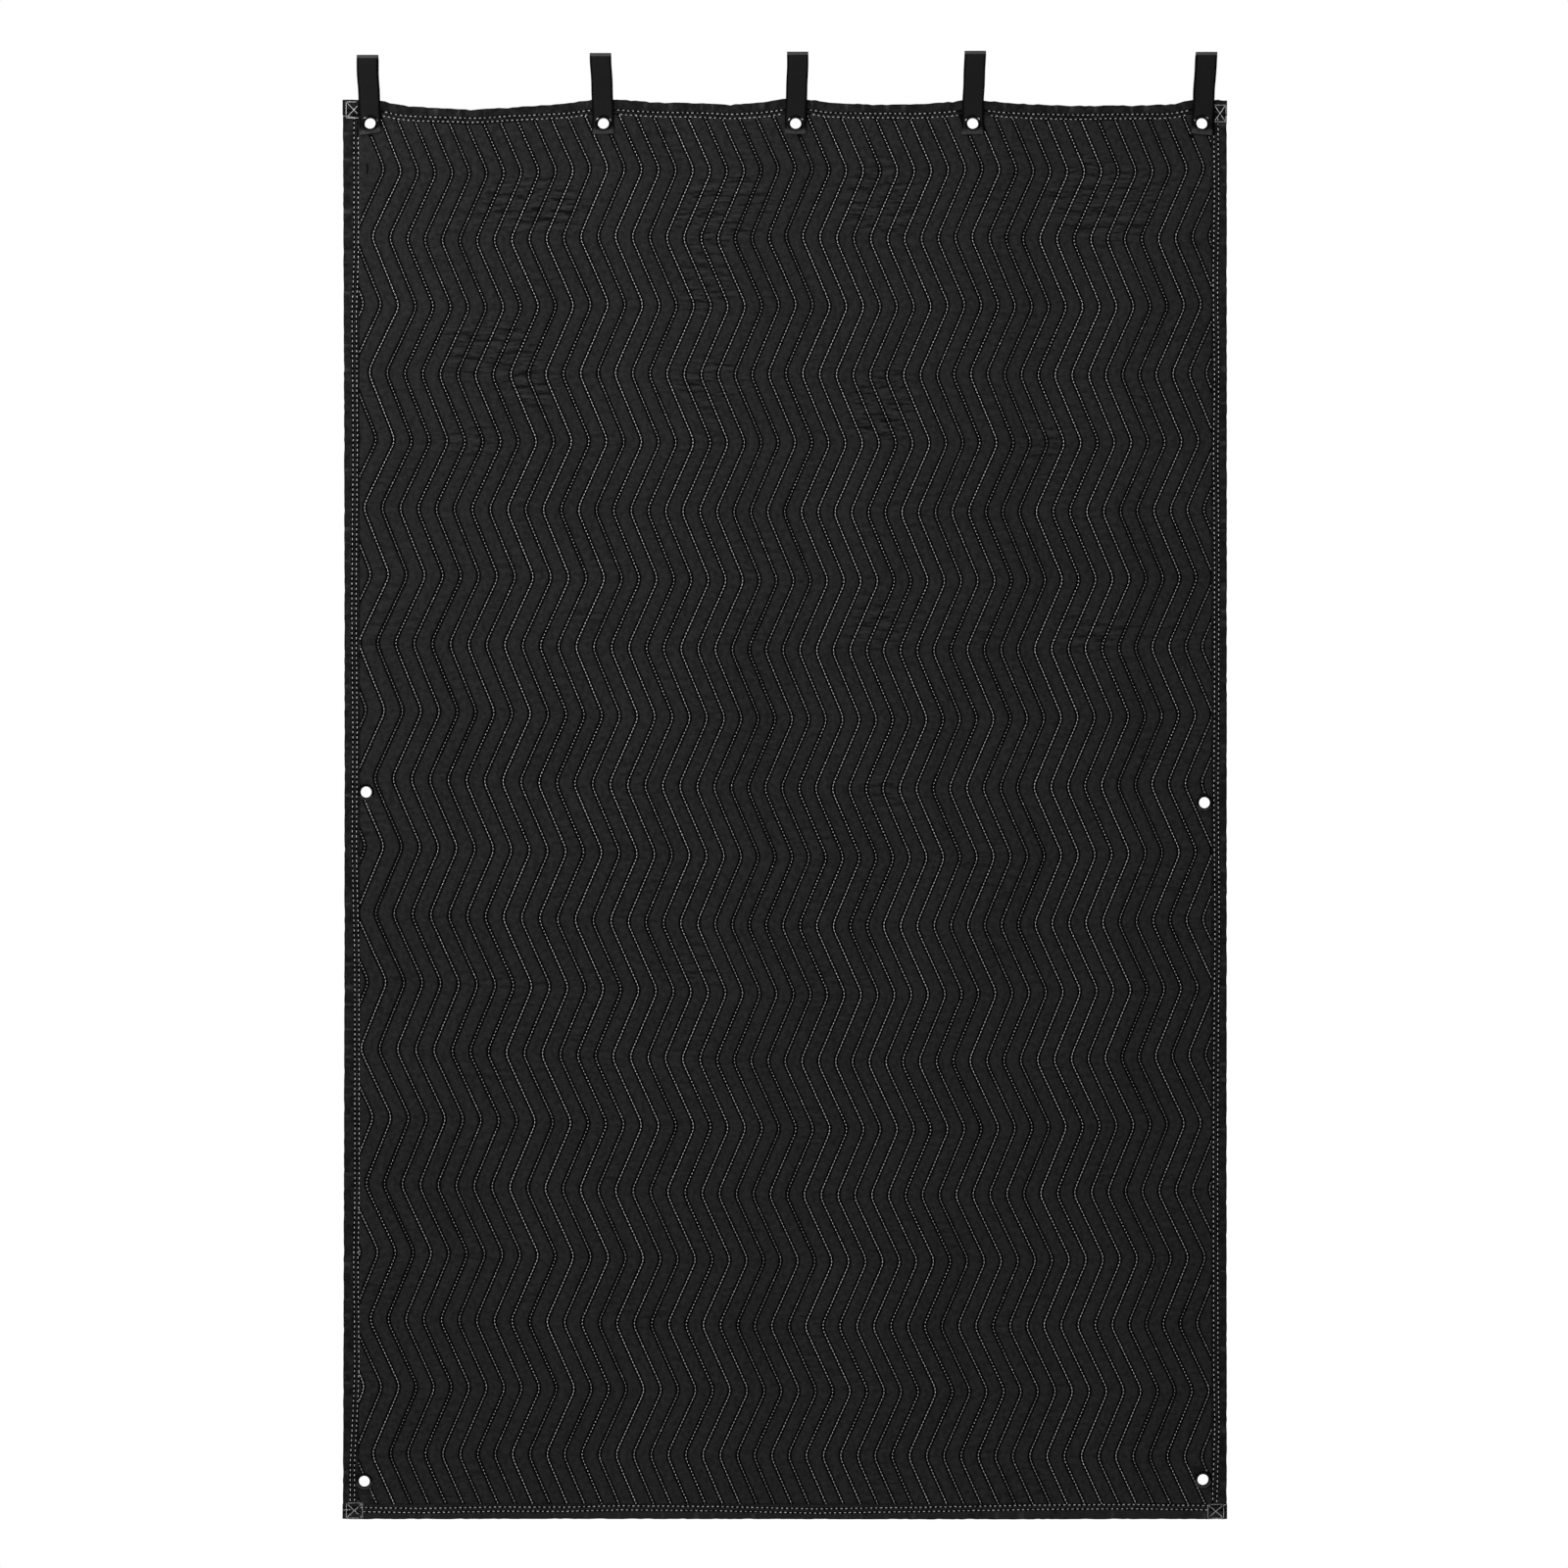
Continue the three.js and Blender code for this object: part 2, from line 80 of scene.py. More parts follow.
# Quilting lattice, as in the solids
LINE_SPREAD = 0.3 * MM
FIRST_LINE = -26
LAST_LINE = 27
DRIFT_TOP = -5.7 * MM
DRIFT_FALL = 5.4 * MM
DRIFT_MIDDLE = -4.8 * MM
DRIFT_SWAY = 2.7 * MM
SWAY_DRAW = 0.086 * MM
BEND_LINE = 24
BEND = 16.5 * MM
RIPPLE = 3.3 * MM
RIPPLE_LINE = -8.4
RIPPLE_LINES = 39.4
FIRST_CORNER_Z = -171.6 * MM
LAST_ROW = 20
ROW_SAG = 19.4 * MM
ROW_TILT = 2.5 * MM
SAG_X = 115 * MM
SAG_SPAN = 900 * MM
SAG_LEAN = 1.6
BAY_ROWS = 6
BAY_SHARE = 0.55

# Mesh steps inside one pitch across and one corner row down
PUFF_STEPS = (0.0, 0.07, 0.28, 0.72, 0.93)
PUFF_HEIGHTS = (0.0, 0.55, 0.97, 1.0)
PUFF_SHARES = (0.0, 0.07, 0.28, 0.5)
ROW_STEPS = (0.0, 0.06, 0.13, 0.3, 0.5, 0.7, 0.87, 0.94)

# Where the quilting flattens towards the binding, from the tape's inner edge
FLAT_FROM = -1 * MM
FLAT_TO = 8 * MM

# Webbing tabs, in millimetres: a row for each tab, as in the solids
Tab = namedtuple("Tab", "crown_z end_z top_x end_x end_rise edge_z stand_off")
TAB_ROWS = (
    (-1.6, -120.0, -624.4, -619.8, 5.0, -68.5, 4.2),
    (1.2, -120.2, -275.9, -271.2, 0.6, -67.2, 3.5),
    (3.2, -120.4, 19.0, 15.0, -0.8, -66.0, 3.5),
    (4.5, -121.0, 283.8, 279.4, 0.8, -68.6, 3.5),
    (2.9, -120.8, 629.6, 622.4, -3.6, -67.5, 4.2),
)

# Straps: mesh steps across, ends of the bound selvedge, and drop of the bend under the top edge
STRAP_SIDES = (-0.5, -0.43, -0.39, -0.2, 0, 0.2, 0.39, 0.43, 0.5)
SELVEDGE = (0.39, 0.43)
STRAP_BEND = 4 * MM
SWELL_CURVE = 0.35
SELVEDGE_DROP = 0.25 * MM
# Painted highlight on the top of each loop's crown: it begins and is full at these drops below the
# crown
PAINTED_CROWN_LIGHT = (6.6 * MM, 5.2 * MM)
FRAY_LEVEL = 0.72

# Sag of the top edge between two tabs, in millimetres, at five shares of the bay's width
BAY_SHARES = (0.1, 0.25, 0.45, 0.7, 0.9)
BAY_SAGS = (
    (8.5, 12.2, 15.5, 10.7, 6.0),
    (1.9, 4.8, 6.0, 9.2, 5.1),
    (5.4, 7.2, 8.5, 7.5, 3.7),
    (4.1, 6.7, 8.9, 8.5, 7.6),
)

# Eyelets, in millimetres: centre and half grip
EYELET_ROWS = {
    "eyelet_tab_1": (-620.2, -104.3, 5.7),
    "eyelet_tab_2": (-271.6, -104.3, 5.0),
    "eyelet_tab_3": (15.6, -104.3, 5.0),
    "eyelet_tab_4": (280.2, -104.3, 5.0),
    "eyelet_tab_5": (622.6, -104.3, 5.7),
    "eyelet_left_middle": (-626.2, -1103.4, 3.2),
    "eyelet_right_middle": (626.5, -1119.2, 3.2),
    "eyelet_left_lower": (-628.9, -2133.2, 3.2),
    "eyelet_right_lower": (624.2, -2130.7, 3.2),
}

# Front of a flange: shares of the way out from the bore and of the rise over the cloth
FLANGE_BEVEL = (
    (0.1, 1.0), (0.42, 1.0), (0.5, 0.96), (0.58, 0.85), (0.7, 0.64), (0.84, 0.38), (0.92, 0.2),
    (1.0, 0.0),
)
FLANGE_LIFT = 0.3 * MM
MOUTH_ROLL = ((0.0, -0.4 * MM), (0.12 * MM, -0.12 * MM))
HOLE_SLACK = 0.2 * MM

# Soft bulges of the hung cloth, in millimetres: centre, half spans and depth
BULGES = (
    (-446, -90, 158, 560, -5.0), (-128, -90, 128, 430, 3.5), (148, -90, 116, 380, -4.0),
    (451, -90, 154, 520, 4.5), (-660, -604, 230, 480, 3.0), (-660, -1618, 260, 495, -3.5),
    (660, -612, 240, 490, -3.0), (660, -1625, 250, 490, 3.0), (-150, -1150, 380, 560, -4.0),
    (330, -1650, 260, 500, 3.0), (-330, -2190, 270, 380, 4.0), (250, -2190, 320, 420, -4.0),
)

# Patches where small puckers are painted on the quilting as highlight and shade: centre and half spans
# in millimetres, and strength
PAINTED_PUCKER_PATCHES = (
    (-382, -227, 130, 70, 1.0), (-97, -235, 130, 85, 0.8), (145, -220, 100, 90, 0.9),
    (467, -213, 135, 100, 1.0), (-112, -344, 90, 70, 0.6), (-433, -440, 125, 75, 0.75),
    (-382, -498, 90, 60, 0.7), (-104, -491, 100, 70, 0.6), (145, -520, 95, 100, 0.8),
    (379, -579, 95, 60, 0.5), (-470, -579, 110, 60, 0.4), (145, -857, 100, 80, 0.45),
    (438, -872, 100, 80, 0.5), (-295, -850, 80, 60, 0.4), (145, -1106, 90, 70, 0.4),
    (-163, -1370, 150, 70, 0.3), (60, -1720, 160, 70, 0.2),
)

# Outer row of edge stitching, in millimetres: place along the side, distance in from the edge
EDGE_ROWS = {
    "left": (
        (-2170, 11.5), (-2110, 11.1), (-2060, 13.5), (-2010, 16.0), (-1960, 17.5), (-1800, 15.5),
        (-1700, 17.0), (-1360, 16.0), (-1190, 12.0), (-1010, 13.0), (-830, 11.5), (-570, 14.0),
        (-390, 13.0), (-300, 16.5), (-100, 17.0),
    ),
    "right": (
        (-2170, 15.5), (-2050, 12.0), (-1960, 13.5), (-1700, 14.0), (-1530, 13.5), (-1310, 11.5),
        (-1090, 13.5), (-980, 12.5), (-740, 12.5), (-600, 14.0), (-480, 12.5), (-340, 14.5),
        (-210, 12.5), (-100, 13.5),
    ),
    "bottom": (
        (-640, 11.6), (-544, 10.0), (-434, 12.0), (-324, 11.7), (-251, 13.9), (-104, 13.0),
        (42, 9.5), (189, 11.9), (372, 15.2), (518, 16.0), (640, 14.1),
    ),
    "top": (
        (-640, 17.0), (-590, 16.5), (-500, 14.2), (-411, 13.8), (-271, 17.0), (-110, 15.0),
        (15, 17.0), (150, 14.2), (280, 16.5), (489, 14.0), (570, 15.0), (640, 16.0),
    ),
}

# Brightness of the outer and the inner row
ROW_LEVELS = (0.72, 0.85)
ROW_CORNER = 24 * MM

# Box tacks in the corners: left, right, low and high in millimetres, and brightness
BOX_TACKS = (
    (-655.9, -633.0, -96.2, -72.3, 0.95),
    (640.4, 658.6, -101.9, -77.0, 0.7),
    (-655.6, -631.6, -2188.0, -2165.6, 0.6),
    (631.6, 655.1, -2188.2, -2167.7, 0.5),
)

# Thread ends beside the box tacks, in millimetres: from X, Z to X, Z
TACK_ENDS = (
    (-660.6, -93.2, -638.6, -96.4),
    (-660.6, -2176.0, -649.0, -2175.6),
    (655.1, -2168.4, 659.4, -2168.2),
)
TACK_END_LEVEL = 0.7
CROSS_GAIN = 0.3
CROSS_INSET = 1.5 * MM
BOX_SHARE = 1.3

# The quilting stops short of the upper left corner: reach in from the corner and last line
BARE_CORNER = (36 * MM, 150 * MM)
BARE_LINE = -24.6

# Stitches: height and lift as shares of their width, and how near a strap or an eyelet they come
STITCH_HEIGHT = 0.8
STITCH_LIFT = 0.22
STRAP_MARGIN = 1.2 * MM
ROW_STRAP_MARGIN = 5 * MM
STRAP_END_MARGIN = 2.5 * MM

# Quilting stitches: step of a line's path in rows, stitches in a stretch of even thread, and share
# of the pitch that a tight stitch fills and a loose one loses
PATH_STEP = 0.012
STRETCH = 30
TIGHT_SHARE = 0.8
LOOSE_LOSS = 0.25
THREAD_SEED = 11

# Binding tapes: phase of the creases, and reach of what bends their outer face
TAPE_PHASES = {"left": 0.0, "right": 1.7, "top": 3.1, "bottom": 4.6}
TAPE_END_GAP = 1.8 * MM
DIP_REACH = 12 * MM
DIMPLE_REACH = 1.6 * MM
INNER_DROP = 0.35 * MM
INNER_REACH = 3 * MM
CORNER_RUN = 5 * MM

# Finishes: waves of a weave in radians a metre, depth of a fine weave, and reach of a wrinkle
CLOTH_WEAVE = 4200.0
TAPE_WEAVE = 5200.0
WEBBING_WEAVE = (3900.0, 1900.0)
FINE_WEAVE = 0.08 * MM
WRINKLE_REACH = 1.1 * MM

# Studio: side of a large light, and share of the even light that a mirroring surface sees
KEY_SIZE = 1.6
MIRRORED_SKY = 0.15


def metres(millimetres):
    return [size * MM for size in millimetres]


TABS = [Tab(*metres(row)) for row in TAB_ROWS]
EYELETS = {node: metres(row) for node, row in EYELET_ROWS.items()}


def chosen(group):
    """The scene's values of a property group"""
    return getattr(bpy.context.scene, f"blanket_{group}")


def number(name, description, default, **limits):
    return bpy.props.FloatProperty(name=name, description=description, default=default, **limits)


def length(name, description, millimetres):
    return number(name, description, millimetres * MM, precision=4, unit="LENGTH")


def colour(name, description, *default):
    return bpy.props.FloatVectorProperty(
        name=name, description=description, default=default, min=0.0, max=1.0, subtype="COLOR"
    )


class BLANKET_PG_pad(PropertyGroup):
    """Sizes of the quilted pad"""

    crown: length("Crown", "Half thickness between two quilting lines", 3.2)
    stitched: length("Stitched", "Half thickness at a quilting line", 1.3)
    raw: length("Raw edge", "Half thickness under the binding", 1.2)
    raw_inset: length("Raw inset", "Distance from the bound edge to the pad's raw edge", 1.9)
    line_pitch: length("Line pitch", "Distance between two quilting lines", 25.54)
    corner_step: length("Corner step", "Height of half a zigzag", 101.2)
    zigzag: length("Zigzag", "Swing of a quilting line to each side", 22.0)
    rounding: number("Corner rounding", "Rounded share of half a zigzag", 0.1, min=0.02, max=0.4)
    pucker: length("Pucker", "Depth of the small creases between the lines", 0.22)


class BLANKET_PG_thread(PropertyGroup):
    """Sizes of the stitching"""

    quilt_pitch: length("Quilting stitch", "Length of a stitch and its gap in the quilting", 5.3)
    back_pitch: length("Back stitch", "Length of a stitch and its gap on the back face", 7.0)
    quilt_width: length("Quilting thread", "Width of the quilting thread", 1.5)
    edge_pitch: length("Edge stitch", "Length of a stitch and its gap on the bindings", 7.4)
    edge_width: length("Edge thread", "Width of the thread on the bindings", 1.1)
    row_gap: length("Row gap", "Distance between the two rows on a binding", 6.3)
    box_pitch: length("Box stitch", "Distance between two stitches in the box tacks", 3.7)
    box_width: length("Box thread", "Width of the thread in the box tacks", 0.8)


class BLANKET_PG_tape(PropertyGroup):
    """Sizes of the binding tapes"""

    width: length("Tape width", "Width of the tape on one face", 23.4)
    thickness: length("Tape thickness", "Thickness of the tape", 0.9)
    fold: length("Fold", "Radius of the fold over the edge", 2.2)
    dimple: length("Dimple", "Depth of the tape under a row of stitches", 0.35)
    crinkle: length("Crinkle", "Depth of the creases across the tape", 0.3)
    uneven: length("Uneven edge", "Depth of the dips along the folded edge", 1.3)
    step: length("Step", "Length of a mesh step along the tape", 7.0)


class BLANKET_PG_tab(PropertyGroup):
    """Sizes of the webbing tabs"""

    width: length("Webbing width", "Width of the strap", 32.0)
    thickness: length("Webbing thickness", "Thickness of the strap", 1.5)
    loop_radius: length("Loop radius", "Inner radius of the loop's crown", 11.0)
    fray: length("Fray", "Height of the worn stretch at the strap's cut end", 20.0)


class BLANKET_PG_eyelet(PropertyGroup):
    """Sizes of the eyelets"""

    bore: length("Bore", "Radius of the bore", 8.2)
    barrel: length("Barrel", "Outer radius of the barrel", 9.5)
    flange: length("Flange", "Outer radius of the flange", 12.4)
    rise: length("Rise", "Height of the flange over the cloth", 1.1)


class BLANKET_PG_finish(PropertyGroup):
    """Colours of the cloth, thread and metal"""

    cloth: colour("Cloth", "Colour of the face and back cloth", 0.0185, 0.0185, 0.019)
    tape: colour("Tape", "Colour of the binding tape", 0.0125, 0.0125, 0.013)
    webbing: colour("Webbing", "Colour of the webbing", 0.0112, 0.0112, 0.0114)
    # The worn colour also paints the highlight on the crowns of the loops
    worn_and_highlit: colour("Worn webbing", "Colour of the worn parts of a strap", 0.07, 0.07, 0.071)
    quilt_thread: colour("Quilting thread", "Colour of the quilting thread", 0.85, 0.85, 0.85)
    edge_thread: colour("Edge thread", "Colour of the thread on the bindings", 0.85, 0.85, 0.85)
    metal: colour("Metal", "Colour of the coated eyelets", 0.002, 0.002, 0.0022)


class BLANKET_PG_studio(PropertyGroup):
    """Camera, light and floor"""

    centre_x: length("Centre X", "Camera's place across", -1.8)
    centre_z: length("Centre Z", "Camera's height", -1091.3)
    frame_height: length("Frame height", "Height of the view at the blanket", 2343.2)
    distance: length("Distance", "Distance of the camera from the blanket", 12000.0)
    floor_drop: length("Floor drop", "Depth of the floor under the hanging line", 2750.0)
    sky: number("Sky", "Strength of the even light", 0.25, min=0.0)
    key: number("Key light", "Power of each large light", 90.0, unit="POWER")
    side: number("Side light", "Power of each small side light", 16.0, unit="POWER")
    panel: number("Panels", "Power of the panels that the metal mirrors", 90.0, unit="POWER")


# Shape of the hung cloth


def hump(distance, span):
    share = np.minimum(np.abs(distance) / span, 1)
    return np.cos(share * np.pi / 2) ** 2


def mounds(table, x, z):
    """Sum of soft mounds: their centres and half spans are in millimetres"""
    total = np.zeros(np.broadcast(x, z).shape)
    for *place, height in table:
        middle_x, middle_z, span_x, span_z = metres(place)
        total += height * hump(x - middle_x, span_x) * hump(z - middle_z, span_z)
    return total


def bulge(x, z):
    return mounds([(*place, depth * MM) for *place, depth in BULGES], x, z)


def eased(value, low, high):
    """Share of the way from low to high, with soft ends"""
    share = np.clip((value - low) / (high - low), 0, 1)
    return share * share * (3 - 2 * share)


def sway(place, swing, rate, phase=0):
    """A wave along a place, with its rate in radians a metre"""
    return swing * np.sin(place * rate + phase)


def left_edge(z):
    share = np.clip((TOP_Z - z) / (TOP_Z - BOTTOM_Z), 0, 1)
    return LEFT_END_X + LEFT_DRAW * np.sin(np.pi * share)


def strap_x(tab, z):
    lean = (tab.top_x - tab.end_x) / (tab.crown_z - tab.end_z)
    return tab.end_x + lean * (z - tab.end_z)


def top_stations():
    """Places on the top edge whose height is known: corners, straps and the sag between them"""
    half = chosen("tab").width / 2
    corner = SIDE_X - chosen("tape").width
    stations = [
        (LEFT_END_X, TOP_Z),
        (-corner, TABS[0].edge_z),
        (corner, TABS[-1].edge_z),
        (SIDE_X, TOP_Z - RIGHT_FALL),
    ]
    for tab, following, sags in zip(TABS, TABS[1:], BAY_SAGS):
        start = (strap_x(tab, tab.edge_z) + half, tab.edge_z)
        stop = (strap_x(following, following.edge_z) - half, following.edge_z)
        stations += [start, stop]
        for share, sag in zip(BAY_SHARES, metres(sags)):
            x, level = (a + (b - a) * share for a, b in zip(start, stop))
            stations.append((x, level - sag))
    return np.array(sorted(stations))


def top_edge(x):
    """Height of the top edge, smoothed over a short reach"""
    reach = 14 * MM
    stations = top_stations()
    heights = [np.interp(x + shift, *stations.T) for shift in np.linspace(-reach, reach, 7)]
    return np.mean(heights, axis=0)


def edge_gaps(x, z):
    """Distances in from the nearer side and from the nearer end of the cloth"""
    return np.minimum(x - left_edge(z), SIDE_X - x), np.minimum(top_edge(x) - z, z - BOTTOM_Z)


def from_edge(edge, place, inset):
    """X and Z of a place along one edge, at a distance in from it"""
    if edge == "left":
        return left_edge(place) + inset, place
    if edge == "right":
        return SIDE_X - inset, place
    if edge == "top":
        return place, top_edge(place) - inset
    return place, BOTTOM_Z + inset


def zigzag_share(row, rounding):
    """Swing of a quilting line from 1 to -1, with its corners rounded"""
    nearest = np.round(row)
    away = np.abs(row - nearest)
    rounded = 1 - rounding - away**2 / rounding
    size = np.where(away < rounding, rounded, 1 - 2 * away)
    return np.where(nearest % 2 == 0, size, -size)


def line_x(pad, line, row):
    down = (row + 1) / (LAST_ROW + 1)
    middle = np.sin(np.pi * down)
    swing = np.sin(3 * np.pi * down)
    drift = DRIFT_TOP + DRIFT_FALL * down + DRIFT_MIDDLE * middle + DRIFT_SWAY * swing
    bend = BEND * middle * (line / BEND_LINE) ** 2
    ripple = RIPPLE * middle * np.cos(2 * np.pi * (line - RIPPLE_LINE) / RIPPLE_LINES)
    pitch = pad.line_pitch + LINE_SPREAD * down - SWAY_DRAW * swing
    turn = pad.zigzag * zigzag_share(row, pad.rounding)
    return drift + ripple + pitch * line - bend + turn


def corner_z(pad, row, x):
    down = np.clip(row / (LAST_ROW - 1), 0, 1)
    sag = ROW_SAG * np.sin(np.pi * down**SAG_LEAN) * hump(x - SAG_X, SAG_SPAN)
    tilt = ROW_TILT * down * x / SIDE_X
    near_top = np.clip(1 - row / BAY_ROWS, 0, 1)
    bay = BAY_SHARE * near_top * (TOP_Z - top_edge(x))
    return FIRST_CORNER_Z - pad.corner_step * row - sag - tilt - bay


def pad_half(pad, line, x, z):
    """Half thickness of the pad: crowned between the lines, flat under the binding"""
    away = np.abs(line - np.round(line))
    puff = np.interp(away, PUFF_SHARES, PUFF_HEIGHTS)
    crease = sway(z, 1, 310, sway(x, 2.2, 23) + sway(z, 1.7, 41))
    crease *= sway(x, 1, 61, sway(z, 2.6, 17))
    quilted = pad.stitched + (pad.crown - pad.stitched) * puff - pad.pucker * puff * crease**2
    tape = chosen("tape").width
    free = eased(np.minimum(*edge_gaps(x, z)), tape + FLAT_FROM, tape + FLAT_TO)
    return pad.raw + (quilted - pad.raw) * free


def bare_corner(x, z):
    """True in the upper left corner, where no quilting shows"""
    return (x < LEFT_END_X + BARE_CORNER[0]) & (z > TOP_Z - BARE_CORNER[1])


def tape_depth(x, z):
    """Depth of the tape's outer face from the pad's middle"""
    tape = chosen("tape")
    at_corner = np.maximum(*edge_gaps(x, z)) < tape.width
    return EDGE_CLEAR + tape.thickness + np.where(at_corner, CORNER_STEP_OUT, 0)


def row_depth(x, z):
    """Depth of a row of stitches, which sinks into the tape"""
    return tape_depth(x, z) - chosen("tape").dimple


def seam_depth(x, z):
    """Depth of a quilting line from the pad's middle"""
    return pad_half(chosen("pad"), 0, x, z)


# Mesh helpers


def linked(name, data):
    made = bpy.data.objects.new(name, data)
    bpy.context.scene.collection.objects.link(made)
    return made


def finished_piece(name, mesh, finish):
    piece = linked(name, mesh)
    mesh.materials.append(finish)
    mesh.shade_smooth()
    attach(piece, "root")
    return piece


def mesh_of(shape, name):
    mesh = bpy.data.meshes.new(name)
    shape.to_mesh(mesh)
    shape.free()
    return mesh


def grid_shape(columns, rows):
    """A flat grid, with the column and row of each of its points"""
    shape = bmesh.new()
    bmesh.ops.create_grid(shape, x_segments=columns - 1, y_segments=rows - 1, size=0.5)
    places = np.array([point.co[:2] for point in shape.verts]) + 0.5
    across, down = np.rint(places * (columns - 1, rows - 1)).astype(int).T
    return shape, across, down


def turn_outwards(shape):
    bmesh.ops.recalc_face_normals(shape, faces=shape.faces[:])


def lay_out(shape, x, y, z, columns):
    """Moves a shape's points and stores named columns of values on them"""
    layers = [shape.verts.layers.float.new(name) for name in columns]
    for point, *values in zip(shape.verts, x, y, z, *columns.values()):
        point.co = values[:3]
        for layer, value in zip(layers, values[3:]):
            point[layer] = value
    return layers


def thicken(shape, thickness, out):
    """Turns a sheet outwards, by its face that lies farthest out, and gives it an inner wall"""
    turn_outwards(shape)
    shape.normal_update()
    farthest = max(shape.faces, key=lambda face: face.calc_center_median().dot(out))
    if farthest.normal.dot(out) < 0:
        bmesh.ops.reverse_faces(shape, faces=shape.faces[:])
    bmesh.ops.solidify(shape, geom=shape.faces[:], thickness=thickness)
    turn_outwards(shape)


def punch(piece, eyelets):
    """Cuts the round holes that the barrels of eyelets pass through"""
    radius = chosen("eyelet").barrel + HOLE_SLACK
    turn = Matrix.Rotation(math.pi / 2, 4, "X")
    shape = bmesh.new()
    for x, z, _ in eyelets:
        place = Matrix.Translation((x, 0, z)) @ turn
        sizes = {"radius1": radius, "radius2": radius, "depth": 80 * MM}
        bmesh.ops.create_cone(shape, cap_ends=True, segments=48, matrix=place, **sizes)
    cutter = linked("punch", mesh_of(shape, "punch"))
    modifier = piece.modifiers.new("punch", "BOOLEAN")
    modifier.operation = "DIFFERENCE"
    modifier.solver = "EXACT"
    modifier.object = cutter
    graph = bpy.context.evaluated_depsgraph_get()
    cut = bpy.data.meshes.new_from_object(piece.evaluated_get(graph))
    piece.modifiers.clear()
    piece.data = cut
    bpy.data.objects.remove(cutter)


def stitch_template(width, sides):
    """Points and faces of a plump stitch of unit length that dives into the cloth at its ends"""
    shape = bmesh.new()
    bmesh.ops.create_uvsphere(shape, u_segments=sides, v_segments=sides, radius=0.5)
    bmesh.ops.rotate(shape, verts=shape.verts[:], matrix=Matrix.Rotation(math.pi / 2, 3, "Y"))
    bmesh.ops.scale(shape, verts=shape.verts[:], vec=(1, width, width * STITCH_HEIGHT))
    shape.verts.index_update()
    points = np.array([point.co for point in shape.verts])
    faces = [[point.index for point in face.verts] for face in shape.faces]
    shape.free()
    return points, faces


# Finishes


class Value:
    """Output of a shader node that can stand in an expression"""

    def __init__(self, nodes, socket):
        self.nodes = nodes
        self.socket = socket

    def maths(self, operation, *terms):
        return self.nodes.node("Math", {"operation": operation}, dict(enumerate(terms)))

    def __add__(self, other):
        return self.maths("ADD", self, other)

    def __sub__(self, other):
        return self.maths("SUBTRACT", self, other)

    def __rsub__(self, other):
        return self.maths("SUBTRACT", other, self)

    def __mul__(self, other):
        return self.maths("MULTIPLY", self, other)

    __radd__ = __add__
    __rmul__ = __mul__

    def wave(self):
        return self.maths("SINE", self)

    def size(self):
        return self.maths("ABSOLUTE", self)

    def from_nearest_whole(self):
        return (self.maths("FRACT", self + 0.5) - 0.5).size()


class Nodes:
    """The shader nodes of a material or of the sky"""

    def __init__(self, tree):
        self.tree = tree

    def link(self, socket, value):
        if isinstance(value, Value):
            self.tree.links.new(value.socket, socket)
        else:
            socket.default_value = value

    def node(self, kind, settings, sockets, output=0):
        made = self.tree.nodes.new("ShaderNode" + kind)
        for key, value in settings.items():
            setattr(made, key, value)
        for key, value in sockets.items():
            self.link(made.inputs[key], value)
        return Value(self, made.outputs[output])


class Finish(Nodes):
    """A procedural material under construction"""

    def __init__(self, name, roughness, specular):
        self.material = bpy.data.materials.new(name)
        self.material.use_nodes = True
        super().__init__(self.material.node_tree)
        self.set(Roughness=roughness, Specular_IOR_Level=specular)

    def place(self):
        return self.node("TexCoord", {}, {}, "Object")

    def axis(self, name):
        return self.node("SeparateXYZ", {}, {0: self.place()}, name)

    def noise(self, scale, detail=2.0, roughness=0.5, stretch=None, drop=0.0):
        """Noise on the piece's own coordinates, which a stretch draws out and a drop shifts"""
        place = self.place()
        if stretch:
            sockets = {"Vector": place, "Location": (0.0, 0.0, drop), "Scale": stretch}
            place = self.node("Mapping", {}, sockets)
        sockets = {"Vector": place, "Scale": scale, "Detail": detail, "Roughness": roughness}
        return self.node("TexNoise", {}, sockets)

    def wrinkle_slope(self):
        """Slope up the cloth of small ridges that are drawn out sideways, from which the cloth's
        highlight and shade are painted
        """
        shifts = (WRINKLE_REACH, -WRINKLE_REACH)
        above, below = (self.noise(85.0, 2.0, 0.55, (0.26, 0.2, 1.0), drop) for drop in shifts)
        return above - below

    def ramp(self, value, low, high):
        settings = {"clamp": True, "interpolation_type": "SMOOTHSTEP"}
        return self.node("MapRange", settings, {0: value, 1: low, 2: high})

    def blend(self, share, first, second):
        return self.node("Mix", {"data_type": "RGBA"}, {0: share, 6: first, 7: second}, 2)

    def attribute(self, name):
        return self.node("Attribute", {"attribute_name": name}, {}, "Fac")

    def bump(self, height, distance, strength, **under):
        sockets = {"Height": height, "Distance": distance, "Strength": strength, **under}
        return self.node("Bump", {}, sockets)

    def set(self, **sockets):
        shader = self.tree.nodes["Principled BSDF"]
        for key, value in sockets.items():
            self.link(shader.inputs[key.replace("_", " ")], value)
        return self.material


def opaque(tint, gain=1.0):
    return (tint[0] * gain, tint[1] * gain, tint[2] * gain, 1.0)


